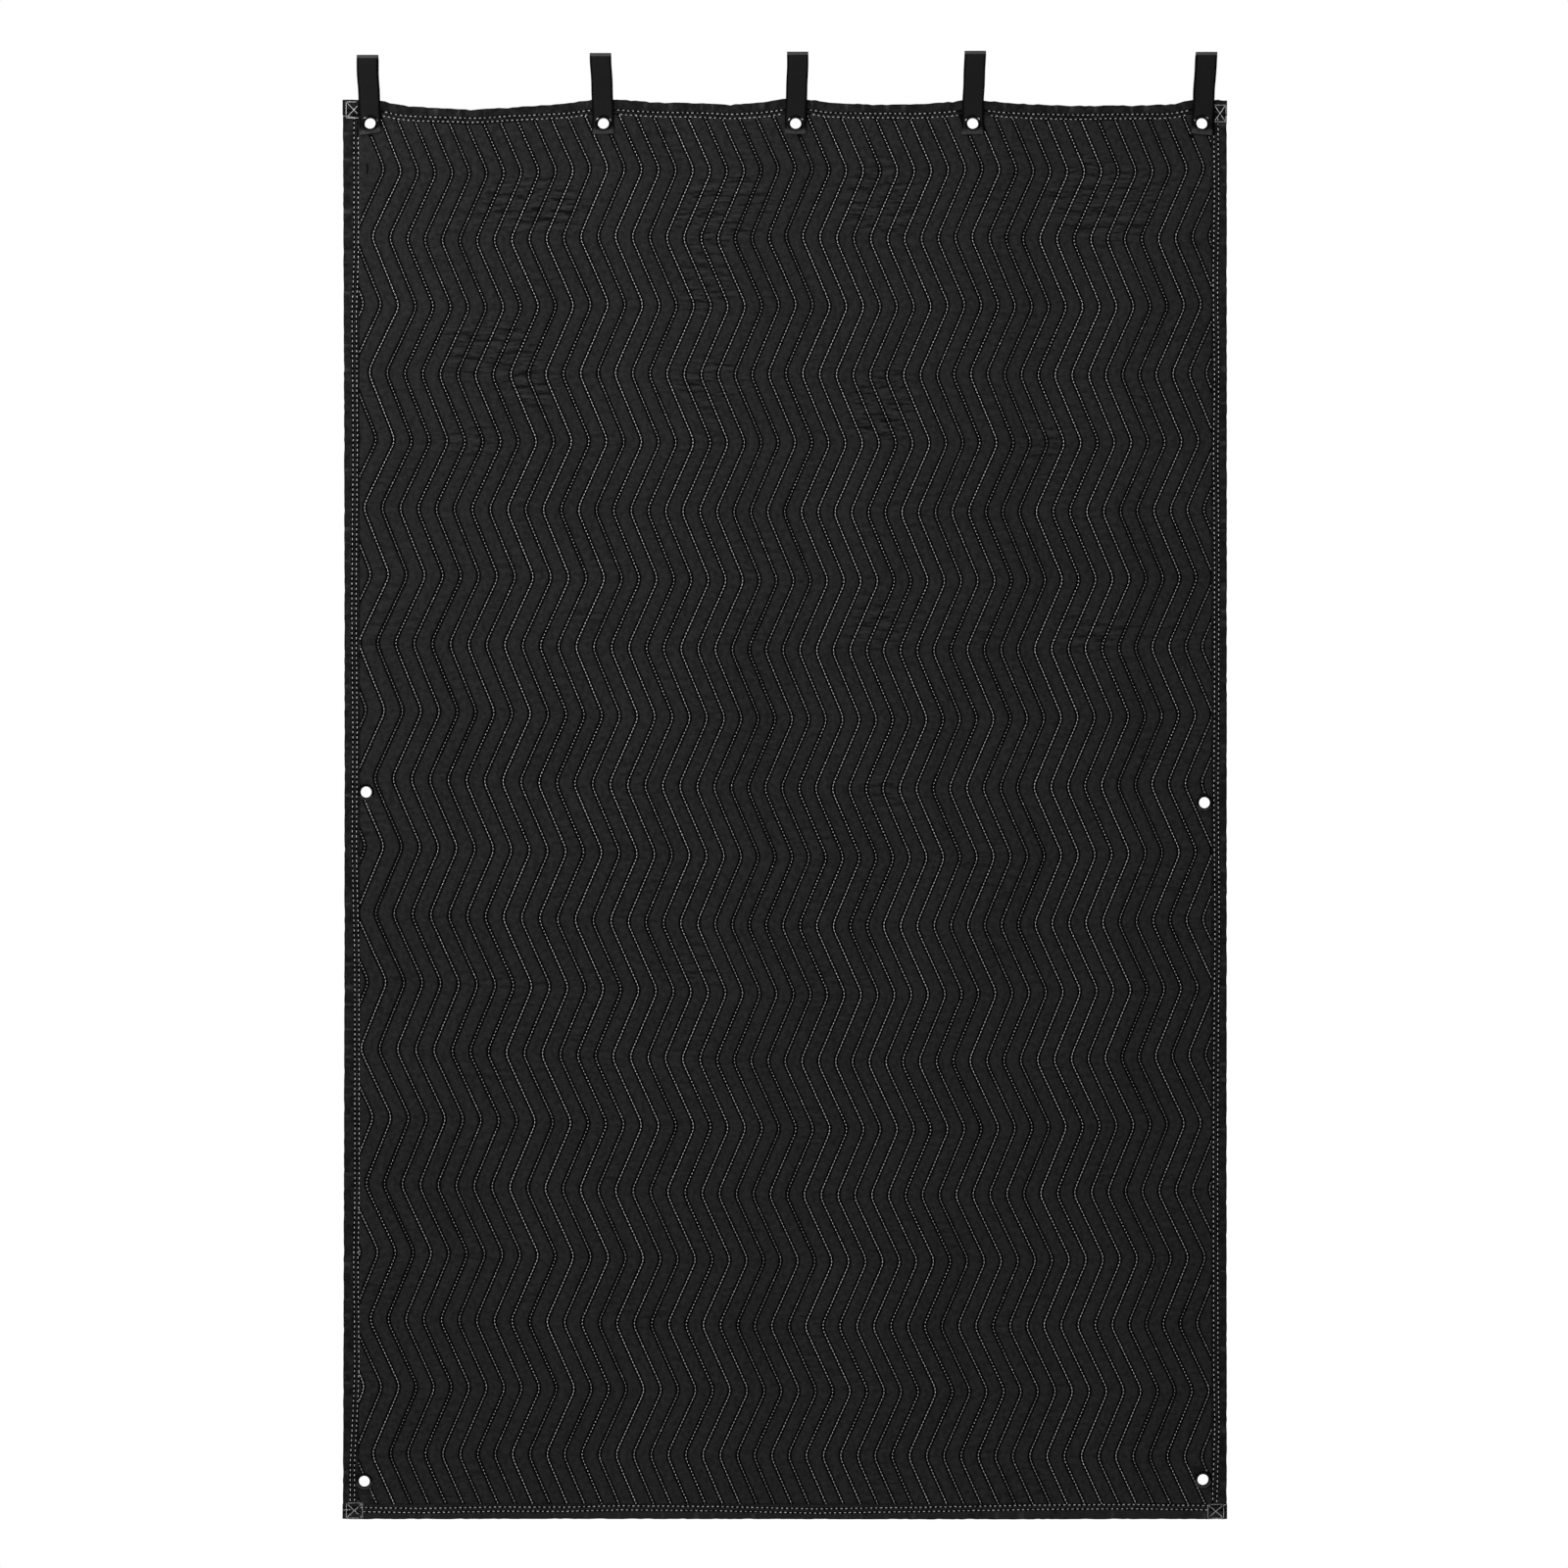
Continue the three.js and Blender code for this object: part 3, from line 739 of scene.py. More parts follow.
def quilted_cloth_finish(tint):
    finish = Finish("quilted cloth", roughness=0.9, specular=0.03)
    mottle = finish.noise(130.0, 5.0, 0.75, (1.0, 0.2, 1.0))
    cloud = finish.noise(7.0)
    seam = finish.attribute("line").from_nearest_whole()
    # Painted shade: a narrow band beside each quilting line is blended almost to black, where the seam
    # pinches the cloth into a crease
    seam_shade = 1.0 - finish.ramp(seam, 0.11, 0.18)
    # Painted highlight and painted shade: small sideways wrinkles are coloured lighter on their upward
    # slopes and darker on their downward slopes, as if lit from above, mostly in the pucker patches
    slope = finish.wrinkle_slope()
    crest_highlight = finish.ramp(slope, 0.02, 0.1)
    shade = finish.ramp(slope * -1.0, 0.02, 0.08)
    faint = finish.ramp(finish.noise(11.0, 1.0), 0.5, 0.66) * 0.32
    patchy = finish.attribute("pucker") + (cloud - 0.5) * 0.6
    pucker_lighting = finish.ramp(patchy, 0.08, 0.55) * 0.75 + faint
    light = finish.ramp(mottle * 0.9 + cloud * 0.1, 0.34, 0.66)
    base = finish.blend(light, opaque(tint, 0.7), opaque(tint, 1.42))
    lit = finish.blend(crest_highlight * pucker_lighting, base, opaque(tint, 1.75))
    pucker_shaded = finish.blend(shade * pucker_lighting, lit, opaque(tint, 0.32))
    shaded = finish.blend(seam_shade * 0.92, pucker_shaded, opaque(tint, 0.08))
    threads = (finish.axis("X") * CLOTH_WEAVE).wave() * (finish.axis("Z") * CLOTH_WEAVE).wave()
    return finish.set(Base_Color=shaded, Normal=finish.bump(threads, FINE_WEAVE, 0.6))


def tape_finish(tint, row_gap):
    finish = Finish("binding tape", roughness=0.85, specular=0.03)
    mottle = finish.noise(90.0, 4.0, 0.7)
    along = finish.attribute("along") + mottle * 0.006
    crossing = finish.node("TexNoise", {"noise_dimensions": "1D"}, {"W": along, "Scale": 80.0})
    # Painted highlight: creases across the tape are coloured up to three times lighter, as their
    # raised ridges catch light from above; the same creases also bump the surface
    lit_creases = finish.ramp(crossing, 0.58, 0.74) * finish.attribute("outer")
    # Painted light: the tape is lighter along the bottom of the blanket, making up for the light that
    # falls off there
    painted_low_light = 1.0 - finish.ramp(finish.axis("Z"), -2.175, -2.155)
    light = finish.ramp(mottle + painted_low_light * 0.16, 0.36, 0.68)
    base = finish.blend(light, opaque(tint, 0.7), opaque(tint, 1.6))
    crease_highlit = finish.blend(lit_creases * 0.8, base, opaque(tint, 3.0))
    # Painted shade: the tape is darkened to a quarter of its tint beside each row of stitches, where
    # the dimples lie in shadow, and along its inner edge, where shade falls between tape and pad
    beside = finish.attribute("beside")
    clear = 1.0 - finish.attribute("inner")
    for row in (0.0, row_gap):
        clear = finish.ramp((beside - row).size(), 1.3 * MM, 2.3 * MM) * clear
    shaded = finish.blend(clear, opaque(tint, 0.25), crease_highlit)
    ribs = ((finish.axis("X") + finish.axis("Z")) * TAPE_WEAVE).wave()
    ribbed = finish.bump(ribs, FINE_WEAVE, 0.6)
    crinkled = finish.bump(lit_creases + mottle * 0.5, 1.2 * MM, 0.5, Normal=ribbed)
    return finish.set(Base_Color=shaded, Normal=crinkled)


def webbing_finish(tint, worn_and_highlit):
    finish = Finish("webbing", roughness=0.8, specular=0.04)
    down, across = WEBBING_WEAVE
    ribs = (finish.axis("Z") * down + (finish.axis("X") * across).wave() * 1.1).wave()
    grain = finish.noise(420.0, 3.0, 0.6)
    base = finish.blend(grain, opaque(tint, 0.8), opaque(tint, 1.35))
    bound = finish.blend(finish.attribute("selvedge") * 0.9, base, opaque(tint, 0.15))
    # The worn colour marks the frayed cut end and, at the crown, a painted highlight
    fray_and_highlight = finish.ramp(finish.attribute("fray") + (grain - 0.5) * 0.9, 0.3, 1.0)
    aged_and_highlit = finish.blend(fray_and_highlight, bound, opaque(worn_and_highlit))
    return finish.set(Base_Color=aged_and_highlit, Normal=finish.bump(ribs, 0.18 * MM, 0.7))


def thread_finish(name, tint):
    finish = Finish(name, roughness=0.6, specular=0.2)
    toned = finish.blend(finish.attribute("tone"), opaque(tint, 0.2), opaque(tint))
    return finish.set(Base_Color=toned)


def metal_finish(tint):
    finish = Finish("coated metal", roughness=0.2, specular=0.4)
    wear = finish.noise(380.0, 3.0, 0.6)
    base = finish.blend(finish.ramp(wear, 0.55, 0.8), opaque(tint), opaque(tint, 1.6))
    return finish.set(Base_Color=base, Roughness=0.12 + wear * 0.1, Coat_Weight=0.4)


# Quilted pad


def stepped(first, last, steps):
    """Whole places from first to last with the given steps between them"""
    places = [whole + step for whole in range(first, last) for step in steps]
    return np.array([*places, last])


def quilted_shape(pad):
    lines = stepped(FIRST_LINE - 2, LAST_LINE + 2, PUFF_STEPS)
    rows = stepped(-2, LAST_ROW + 1, ROW_STEPS)
    shape, across, down = grid_shape(len(lines), len(rows))
    line = lines[across]
    x = line_x(pad, line, rows[down])
    z = corner_z(pad, rows[down], x)
    inset = pad.raw_inset
    inside = np.minimum(*edge_gaps(x, z)) > inset
    z = np.clip(z, BOTTOM_Z + inset, top_edge(x) - inset)
    x = np.clip(x, left_edge(z) + inset, SIDE_X - inset)
    line = np.where(bare_corner(x, z), np.maximum(line, BARE_LINE), line)
    half = pad_half(pad, line, x, z)
    # The pucker column marks the patches where the cloth's finish paints wrinkle highlight and shade
    columns = {"half": half, "middle": bulge(x, z), "line": line, "pucker": mounds(PAINTED_PUCKER_PATCHES, x, z)}
    half_layer, middle_layer, *_ = lay_out(shape, x, 0 * x, z, columns)
    shape.verts.index_update()
    outside = [
        face for face in shape.faces if not any(inside[point.index] for point in face.verts)
    ]
    bmesh.ops.delete(shape, geom=outside, context="FACES")
    bmesh.ops.remove_doubles(shape, verts=shape.verts[:], dist=0.2 * MM)
    bmesh.ops.dissolve_degenerate(shape, edges=shape.edges[:], dist=0.01 * MM)
    grown = bmesh.ops.extrude_face_region(shape, geom=shape.faces[:])
    back = {item for item in grown["geom"] if isinstance(item, bmesh.types.BMVert)}
    for point in shape.verts:
        side = BACK if point in back else FRONT
        point.co.y = point[middle_layer] + side * point[half_layer]
    turn_outwards(shape)
    return shape


class BLANKET_OT_pad(Operator):
    """Makes the quilted pad: face cloth, batting and back cloth"""

    bl_idname = "blanket.pad"
    bl_label = "Quilted pad"

    def execute(self, context):
        mesh = mesh_of(quilted_shape(chosen("pad")), "quilted_pad")
        for spare in ("half", "middle"):
            mesh.attributes.remove(mesh.attributes[spare])
        finish = quilted_cloth_finish(chosen("finish").cloth)
        piece = finished_piece("quilted_pad", mesh, finish)
        punch(piece, EYELETS.values())
        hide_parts("pad_heading", "pad_margin_left", "pad_margin_right", "pad_field")
        return {"FINISHED"}


# Stitching


def covered(x, z, margin=STRAP_MARGIN):
    """True where an eyelet or a strap hides the stitches, with a margin beside the strap"""
    hidden = np.zeros(np.shape(x), bool)
    flange = chosen("eyelet").flange
    half = chosen("tab").width / 2 + margin
    for eyelet_x, eyelet_z, _ in EYELETS.values():
        hidden |= np.hypot(x - eyelet_x, z - eyelet_z) < flange
    for tab in TABS:
        beside = np.abs(x - strap_x(tab, z)) < half
        hidden |= beside & (z > tab.end_z - STRAP_END_MARGIN)
    return hidden


def stitches_along(path, pitch, shares, offset):
    """Start and end points of the stitches on a path of points in the blanket's plane"""
    steps = np.hypot(*np.diff(path, axis=0).T)
    walked = np.concatenate([[0], np.cumsum(steps)])
    middles = np.arange(offset * pitch, walked[-1], pitch)
    share = np.resize(shares, len(middles))
    ends = [middles + side * share * pitch for side in (-0.5, 0.5)]
    return np.stack([[np.interp(places, walked, axis) for axis in path.T] for places in ends], -1).T


def slow_noise(random, count, every):
    knots = random.uniform(0, 1, count // every + 3)
    return np.interp(np.arange(count) / every, np.arange(len(knots)), knots)


def thread_piece(name, finish, seams, depth_at, side, width, sides):
    """Joined stitches that lie on a face: each seam is its stitches' ends and tones"""
    ends, tones = zip(*seams)
    starts, stops = np.concatenate(ends, axis=1)
    x, z = ((starts + stops) / 2).T
    y = bulge(x, z) + side * (depth_at(x, z) + width * STITCH_LIFT)
    along_x, along_z = (stops - starts).T
    along = np.stack([along_x, bulge(*stops.T) - bulge(*starts.T), along_z], 1)
    ahead = along / np.linalg.norm(along, axis=1, keepdims=True)
    out = (0, side, 0) - ahead * ahead[:, 1:2] * side
    out = out / np.linalg.norm(out, axis=1, keepdims=True)
    points, faces = stitch_template(width, sides)
    turns = np.stack([along, np.cross(out, ahead), out], 1)
    places = np.stack([x, y, z], 1)[:, None] + points @ turns
    firsts = range(0, len(x) * len(points), len(points))
    copies = [[corner + first for corner in face] for first in firsts for face in faces]
    mesh = bpy.data.meshes.new(name)
    mesh.from_pydata(places.reshape(-1, 3), [], copies)
    tone = mesh.attributes.new("tone", "FLOAT", "POINT")
    tone.data.foreach_set("value", np.repeat(np.concatenate(tones), len(points)))
    finished_piece(name, mesh, finish)


class BLANKET_OT_quilting(Operator):
    """Sews the zigzag quilting lines on both faces"""

    bl_idname = "blanket.quilting"
    bl_label = "Quilting thread"

    def execute(self, context):
        thread = chosen("thread")
        finish = thread_finish("quilting thread", chosen("finish").quilt_thread)
        random = np.random.default_rng(THREAD_SEED)
        rows = np.arange(-1.9, LAST_ROW + 0.9, PATH_STEP)
        halves = {"left": range(FIRST_LINE - 1, 1), "right": range(1, LAST_LINE + 2)}
        faces = ((FRONT, "front", thread.quilt_pitch), (BACK, "back", thread.back_pitch))
        for side, face, pitch in faces:
            for half, lines in halves.items():
                seams = [self.seam(line, rows, pitch, random) for line in lines]
                name = f"quilting_thread_{face}_{half}"
                thread_piece(name, finish, seams, seam_depth, side, thread.quilt_width, 3)
        return {"FINISHED"}

    def seam(self, line, rows, pitch, random):
        """Stitches of one line and their tones: even stretches, loose ones, and bright stitches"""
        pad = chosen("pad")
        x = line_x(pad, line, rows)
        path = np.stack([x, corner_z(pad, rows, x)], 1)
        loose = eased(slow_noise(random, 2 * len(rows), STRETCH), 0.66, 0.8)
        shares = TIGHT_SHARE - LOOSE_LOSS * loose
        ends = stitches_along(path, pitch, shares, random.uniform())
        x, z = ((ends[0] + ends[1]) / 2).T
        clear = np.minimum(*edge_gaps(x, z)) > chosen("tape").width - 0.4 * pitch
        clear &= ~(covered(x, z) | bare_corner(x, z))
        count = len(clear)
        tone = 0.85 * random.uniform() + 0.5 * slow_noise(random, count, STRETCH)
        tone = tone + 0.15 * loose[:count] + random.uniform(-0.1, 0.1, count)
        tone += 0.5 * (random.uniform(0, 1, count) > 0.96)
        return ends[:, clear], np.clip(tone[clear], 0.1, 1)


def row_distance(edge, place):
    knots = np.array(EDGE_ROWS[edge]) * MM
    return np.interp(place, *knots.T)


def edge_row_path(edge, row_shift):
    """Path of one row of edge stitching in the blanket's plane"""
    if edge in ("left", "right"):
        place = np.linspace(TOP_Z - ROW_CORNER, BOTTOM_Z + ROW_CORNER, 600)
    else:
        place = np.linspace(LEFT_END_X + ROW_CORNER, SIDE_X - ROW_CORNER, 500)
    return np.stack(from_edge(edge, place, row_distance(edge, place) + row_shift), 1)


def tack_paths():
    """Seams of the box tacks and of the thread ends beside them, each with its brightness"""
    paths = []
    for *box, level in BOX_TACKS:
        left, right, low, high = metres(box)
        corners = [(left, low), (right, low), (right, high), (left, high)]
        paths += [(path, level) for path in zip(corners, corners[1:] + corners[:1])]
        start, stop = left + CROSS_INSET, right - CROSS_INSET
        foot, head = low + CROSS_INSET, high - CROSS_INSET
        rising = ((start, foot), (stop, head))
        falling = ((start, head), (stop, foot))
        paths += [(path, level + CROSS_GAIN) for path in (rising, falling)]
    for row in TACK_ENDS:
        paths.append((np.reshape(metres(row), (2, 2)), TACK_END_LEVEL))
    return paths


class BLANKET_OT_edge_stitching(Operator):
    """Sews the double rows along the bindings and the box tacks in the corners"""

    bl_idname = "blanket.edge_stitching"
    bl_label = "Edge stitching"

    def execute(self, context):
        thread = chosen("thread")
        finish = thread_finish("edge thread", chosen("finish").edge_thread)
        random = np.random.default_rng(THREAD_SEED)
        for side, face in ((FRONT, "front"), (BACK, "back")):
            seams = [
                self.row(thread, edge, shift, level, random)
                for edge in EDGE_ROWS
                for shift, level in zip((0, thread.row_gap), ROW_LEVELS)
            ]
            thread_piece(f"edge_rows_{face}", finish, seams, row_depth, side, thread.edge_width, 4)
            seams = [self.tack(thread, path, level, random) for path, level in tack_paths()]
            thread_piece(f"box_tacks_{face}", finish, seams, tape_depth, side, thread.box_width, 4)
        return {"FINISHED"}

    def row(self, thread, edge, shift, level, random):
        """Stitches of one row along an edge, a little uneven, and their tones"""
        path = edge_row_path(edge, shift)
        shares = random.uniform(0.44, 0.56, 400)
        ends = stitches_along(path, thread.edge_pitch, shares, random.uniform())
        clear = ~covered(*((ends[0] + ends[1]) / 2).T, ROW_STRAP_MARGIN)
        count = len(clear)
        tone = level + 0.3 * slow_noise(random, count, 12)
        tone += random.normal(0, 0.22, count)
        astray = random.normal(0, 0.13 * MM, (2, clear.sum(), 2))
        return ends[:, clear] + astray, np.clip(tone[clear], 0.15, 1)

    def tack(self, thread, path, level, random):
        """Overlapping stitches of one seam of a box tack, and their tones"""
        ends = stitches_along(np.array(path), thread.box_pitch, BOX_SHARE, 0.5)
        clear = ~covered(*((ends[0] + ends[1]) / 2).T)
        return ends[:, clear], np.clip(random.normal(level, 0.15, clear.sum()), 0.1, 1)


# Bindings


def tape_profile(tape):
    """Distances in from the edge and shares of the depth, from the front over the fold"""
    flat = np.concatenate([[tape.width], np.linspace(tape.width - 1.2 * MM, tape.fold, 9)])
    turn = np.linspace(-np.pi / 2, np.pi / 2, 9)[1:-1]
    insets = np.concatenate([flat, tape.fold * (1 - np.cos(turn)), flat[::-1]])
    shares = np.concatenate([-np.ones(len(flat)), np.sin(turn), np.ones(len(flat))])
    return insets, shares


def tape_mesh(edge, name):
    """A folded tape: dipped at its rows of stitches, creased across and uneven at its fold"""
    tape = chosen("tape")
    row_gap = chosen("thread").row_gap
    insets, shares = tape_profile(tape)
    upright = edge in ("left", "right")
    run = (LEFT_END_X, SIDE_X)
    if upright:
        fall = RIGHT_FALL if edge == "right" else 0
        run = (TOP_Z - fall - TAPE_END_GAP, BOTTOM_Z + TAPE_END_GAP)
    count = int(abs(run[1] - run[0]) / tape.step)
    shape, across, down = grid_shape(len(insets), count)
    inset = insets[across]
    place = np.linspace(*run, count)[down]
    phase = TAPE_PHASES[edge]
    wander = sway(place, 1, 57, phase) * sway(place, 1, 131, 2 * phase)
    sharp = sway(place, 1, 210, sway(place, 3, 37, phase) + phase)
    uneven = tape.uneven if edge == "top" else 0.5 * tape.uneven
    dip = uneven * (wander + 0.5 * sharp) * eased(-inset, -DIP_REACH, 0)
    x, z = from_edge(edge, place, inset + np.abs(dip))
    row = row_distance(edge, place)
    beside = inset - row
    dimple = sum(np.exp(-(((beside - gap) / DIMPLE_REACH) ** 2)) for gap in (0, row_gap))
    outer = eased(-inset, -row, -row * 0.35)
    crinkle = tape.crinkle * (0.5 + 0.8 * outer) * sharp * wander
    inner_edge = eased(inset, tape.width - INNER_REACH, tape.width)
    depth = EDGE_CLEAR + tape.thickness - tape.dimple * dimple + np.abs(crinkle)
    depth -= INNER_DROP * inner_edge
    if not upright:
        reach = np.minimum(place - LEFT_END_X, SIDE_X - place)
        corner = 1 - eased(reach, tape.width, tape.width + CORNER_RUN)
        depth += CORNER_STEP_OUT * corner
    y = bulge(x, z) + shares[across] * depth
    # Inner marks the tape's inner edge and beside the distance from the rows of stitches; the finish
    # paints shade along both
    inner = eased(inset, tape.width - 1.5 * MM, tape.width - 0.3 * MM)
    columns = {"along": place + phase, "outer": outer, "beside": beside, "inner": inner}
    lay_out(shape, x, y, z, columns)
    thicken(shape, tape.thickness, Vector((0, FRONT, 0)))
    return mesh_of(shape, name)


class BLANKET_OT_bindings(Operator):
    """Folds the four binding tapes over the pad's edges"""

    bl_idname = "blanket.bindings"
    bl_label = "Binding tapes"

    def execute(self, context):
        tint = chosen("finish").tape
        finish = tape_finish(tint, chosen("thread").row_gap)
        for edge in ("left", "right", "top", "bottom"):
            name = f"tape_{edge}"
            piece = finished_piece(name, tape_mesh(edge, name), finish)
            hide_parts(f"binding_{edge}")
        return {"FINISHED"}


# Webbing tabs


def strap_path(tab, sizes):
    """Points of the strap's outer face, front end first: [depth, height, share down the end]"""
    outer = sizes.loop_radius + sizes.thickness
    centre = tab.crown_z - outer
    flat = tab.stand_off + sizes.thickness
    bend = tab.edge_z - STRAP_BEND
    turns = np.linspace(0, np.pi / 2, 13)[1:]
    down = np.linspace(1, 0, 15)
    rise = np.linspace(0, 1, 13)[1:]
    end = np.stack([flat + 0 * down, bend + 0 * down, down], 1)
    swell = SWELL_CURVE * eased(rise, 0, 1) + (1 - SWELL_CURVE) * rise
    leg = np.stack([flat + (outer - flat) * swell, bend + (centre - bend) * rise, 0 * rise], 1)
    crown = np.stack([outer * np.cos(turns), centre + outer * np.sin(turns), 0 * turns], 1)
    front = np.concatenate([end, leg, crown]) * (FRONT, 1, 1)
    back = front[-2::-1] * (-1, 1, 1)
    return np.concatenate([front, back])


def tab_mesh(tab, name, phase):
    sizes = chosen("tab")
    path = strap_path(tab, sizes)
    shape, across, down = grid_shape(len(STRAP_SIDES), len(path))
    side = np.array(STRAP_SIDES)[across]
    depth, height, ending = path[down].T
    end_z = tab.end_z + side * tab.end_rise
    z = height + (end_z - height) * ending
    wave = sway(z, 0.5 * MM, 95, phase) * sway(z, 1, 31, 2 * phase)
    x = strap_x(tab, z) + side * sizes.width + wave
    selvedge = eased(np.abs(side), *SELVEDGE)
    ripple = sway(z, 0.18 * MM, 240, side * 5 + phase) * (1 - selvedge)
    flat = np.abs(depth) < sizes.loop_radius
    y = depth + np.sign(depth) * (ripple * flat - SELVEDGE_DROP * selvedge)
    frayed = eased(-z, -(end_z + sizes.fray), -(end_z + 1 * MM))
    # Painted highlight: the top of the crown takes the worn colour, as it catches light from above; at
    # the cut end the fray is real wear
    crown_highlight = eased(z, *(tab.crown_z - drop for drop in PAINTED_CROWN_LIGHT))
    fray = np.where(ending > 0, FRAY_LEVEL * frayed, crown_highlight)
    lay_out(shape, x, y, z, {"fray": fray, "selvedge": selvedge})
    thicken(shape, sizes.thickness, Vector((0, 0, 1)))
    return mesh_of(shape, name)


class BLANKET_OT_tabs(Operator):
    """Loops the five webbing tabs over the hanging line and lays their ends on the pad"""

    bl_idname = "blanket.tabs"
    bl_label = "Webbing tabs"

    def execute(self, context):
        tints = chosen("finish")
        finish = webbing_finish(tints.webbing, tints.worn_and_highlit)
        for count, tab in enumerate(TABS, 1):
            name = f"strap_{count}"
            piece = finished_piece(name, tab_mesh(tab, name, 1.3 * count), finish)
            punch(piece, [EYELETS[f"eyelet_tab_{count}"]])
            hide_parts(f"tab_{count}")
        return {"FINISHED"}


# Eyelets


def eyelet_mesh(name, x, z, grip):
    """A rolled eyelet: one profile spun round the bore"""
    sizes = chosen("eyelet")
    under = grip + FLANGE_LIFT
    face = under + sizes.rise
    lip = sizes.flange - sizes.bore
    rim = [(sizes.bore, 0.0)]
    rim += [(sizes.bore + out, face + drop) for out, drop in MOUTH_ROLL]
    rim += [(sizes.bore + out * lip, under + rise * sizes.rise) for out, rise in FLANGE_BEVEL]
    rim += [(sizes.barrel, under), (sizes.barrel, 0.0)]
    profile = [(radius, FRONT * depth) for radius, depth in rim]
    profile += [(radius, BACK * depth) for radius, depth in rim[-2:0:-1]]
    shape = bmesh.new()
    ring = [shape.verts.new((x + radius, depth, z)) for radius, depth in profile]
    edges = [shape.edges.new(pair) for pair in zip(ring, ring[1:] + ring[:1])]
    turn = {"cent": (x, 0, z), "axis": (0, 1, 0), "angle": 2 * math.pi, "steps": 64}
    bmesh.ops.spin(shape, geom=ring + edges, use_merge=True, **turn)
    bmesh.ops.remove_doubles(shape, verts=shape.verts[:], dist=0.01 * MM)
    turn_outwards(shape)
    return mesh_of(shape, name)


class BLANKET_OT_eyelets(Operator):
    """Presses the nine eyelets"""

    bl_idname = "blanket.eyelets"
    bl_label = "Eyelets"

    def execute(self, context):
        finish = metal_finish(chosen("finish").metal)
        for node, place in EYELETS.items():
            name = node.replace("eyelet", "grommet")
            piece = finished_piece(name, eyelet_mesh(name, *place), finish)
            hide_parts(node)
        return {"FINISHED"}


# Studio


def add_area_light(name, place, aim, size, power):
    light = bpy.data.lights.new(name, "AREA")
    light.size = size
    light.energy = power
    lamp = linked(name, light)
    lamp.location = place
    lamp.rotation_mode = "QUATERNION"
    lamp.rotation_quaternion = (Vector(aim) - Vector(place)).to_track_quat("-Z", "Y")
    return lamp


class BLANKET_OT_studio(Operator):
    """Sets the camera, the soft light, the white surround and the pale floor"""

    bl_idname = "blanket.studio"
    bl_label = "Studio"

    def execute(self, context):
        scene = context.scene
        studio = chosen("studio")
        lens = bpy.data.cameras.new("camera")
        lens.lens = lens.sensor_width * studio.distance / studio.frame_height
        camera = linked("camera", lens)
        camera.location = (studio.centre_x, -studio.distance, studio.centre_z)
        camera.rotation_euler = (math.pi / 2, 0, 0)
        scene.camera = camera
        shape = bmesh.new()
        bmesh.ops.create_circle(shape, cap_ends=True, segments=96, radius=4.2)
        bmesh.ops.translate(shape, verts=shape.verts[:], vec=(0, 0, -studio.floor_drop))
        floor = linked("floor", mesh_of(shape, "floor"))
        pale = Finish("pale floor", roughness=0.9, specular=0.1)
        floor.data.materials.append(pale.set(Base_Color=(0.86, 0.86, 0.86, 1.0)))
        floor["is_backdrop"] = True
        scene.world = self.sky(studio.sky)
        scene.view_settings.view_transform = "Standard"
        for row in (
            ("key light", (-1.9, -2.7, 0.75), (-0.2, 0, -0.7), KEY_SIZE, studio.key),
            ("left light", (-2.3, -1.2, 1.2), (-0.2, 0, -0.1), 1.0, studio.side),
            ("right light", (2.3, -1.2, 1.2), (0.2, 0, -0.1), 1.0, studio.side),
        ):
            add_area_light(*row).visible_glossy = False
        middle = (0, 0, studio.centre_z)
        add_area_light("back light", (1.1, 2.8, 1.1), middle, KEY_SIZE, studio.key)
        for side, share in ((-1, 1.0), (1, 0.6)):
            place = (side * 1.7, -1.1, 1.1)
            panel = add_area_light("panel", place, (0, 0, 3.0), 1.2, share * studio.panel)
            panel.visible_diffuse = False
        return {"FINISHED"}

    def sky(self, strength):
        """A white surround that lights less than it shows, and mirrors less still"""
        world = bpy.data.worlds.new("white studio")
        world.use_nodes = True
        nodes = Nodes(world.node_tree)
        seen = nodes.node("LightPath", {}, {}, "Is Camera Ray")
        glossy = nodes.node("LightPath", {}, {}, "Is Glossy Ray")
        cast = nodes.node("MapRange", {}, {0: glossy, 3: strength, 4: MIRRORED_SKY * strength})
        background = nodes.tree.nodes["Background"]
        nodes.link(background.inputs["Color"], (1, 1, 1, 1))
        shown = nodes.node("MapRange", {}, {0: seen, 3: cast, 4: 1.0})
        nodes.link(background.inputs["Strength"], shown)
        return world


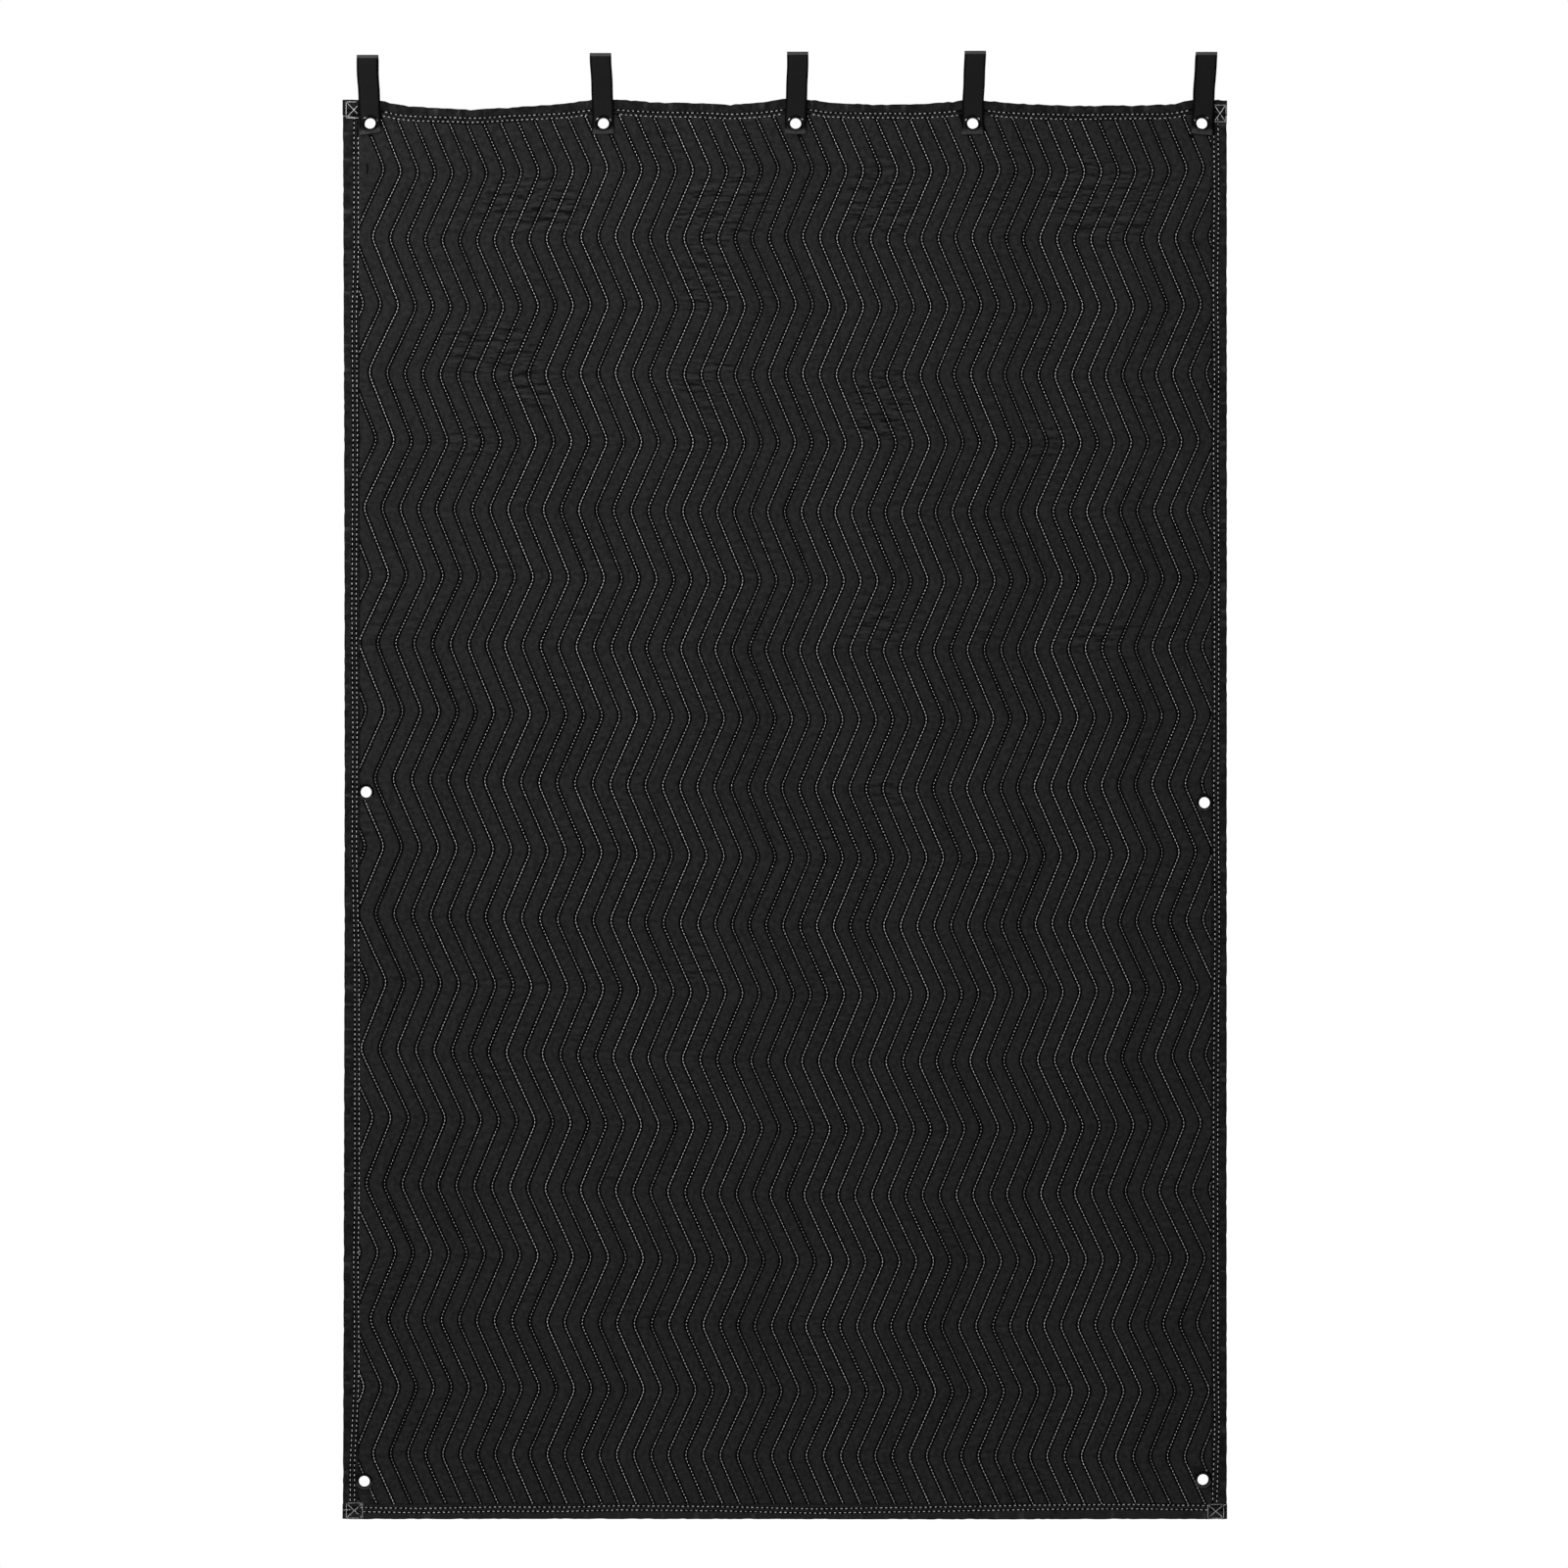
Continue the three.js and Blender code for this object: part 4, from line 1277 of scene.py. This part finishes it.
class BLANKET_OT_declare(Operator):
    bl_idname = "blanket.declare"
    bl_label = "Declare the cloth"

    def execute(self, context):
        pad = bpy.data.objects["quilted_pad"]
        others = [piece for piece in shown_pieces() if piece != pad]
        return {"FINISHED"}


OPERATORS = (
    BLANKET_OT_pad,
    BLANKET_OT_quilting,
    BLANKET_OT_bindings,
    BLANKET_OT_edge_stitching,
    BLANKET_OT_tabs,
    BLANKET_OT_eyelets,
    BLANKET_OT_declare,
    BLANKET_OT_studio,
)

GROUPS = {
    "pad": BLANKET_PG_pad,
    "thread": BLANKET_PG_thread,
    "tape": BLANKET_PG_tape,
    "tab": BLANKET_PG_tab,
    "eyelet": BLANKET_PG_eyelet,
    "finish": BLANKET_PG_finish,
    "studio": BLANKET_PG_studio,
}


class BLANKET_PT_sidebar(Panel):
    """Lists the steps that dress the blanket, and their sizes"""

    bl_idname = "BLANKET_PT_sidebar"
    bl_label = "Sound dampening blanket"
    bl_space_type = "VIEW_3D"
    bl_region_type = "UI"
    bl_category = "Blanket"

    def draw(self, context):
        for operator in OPERATORS:
            self.layout.operator(operator.bl_idname)
        for name, group in GROUPS.items():
            box = self.layout.box()
            box.label(text=group.__doc__)
            for value in group.__annotations__:
                box.prop(chosen(name), value)


CLASSES = (*GROUPS.values(), *OPERATORS, BLANKET_PT_sidebar)


def register():
    for made in CLASSES:
        bpy.utils.register_class(made)
    for name, group in GROUPS.items():
        pointer = bpy.props.PointerProperty(type=group)
        setattr(bpy.types.Scene, f"blanket_{name}", pointer)


def unregister():
    for name in GROUPS:
        delattr(bpy.types.Scene, f"blanket_{name}")
    for made in reversed(CLASSES):
        bpy.utils.unregister_class(made)


def main():
    register()
    bpy.ops.blanket.pad()
    bpy.ops.blanket.quilting()
    bpy.ops.blanket.bindings()
    bpy.ops.blanket.edge_stitching()
    bpy.ops.blanket.tabs()
    bpy.ops.blanket.eyelets()
    bpy.ops.blanket.declare()
    bpy.ops.blanket.studio()


if __name__ == "__main__":
    main()
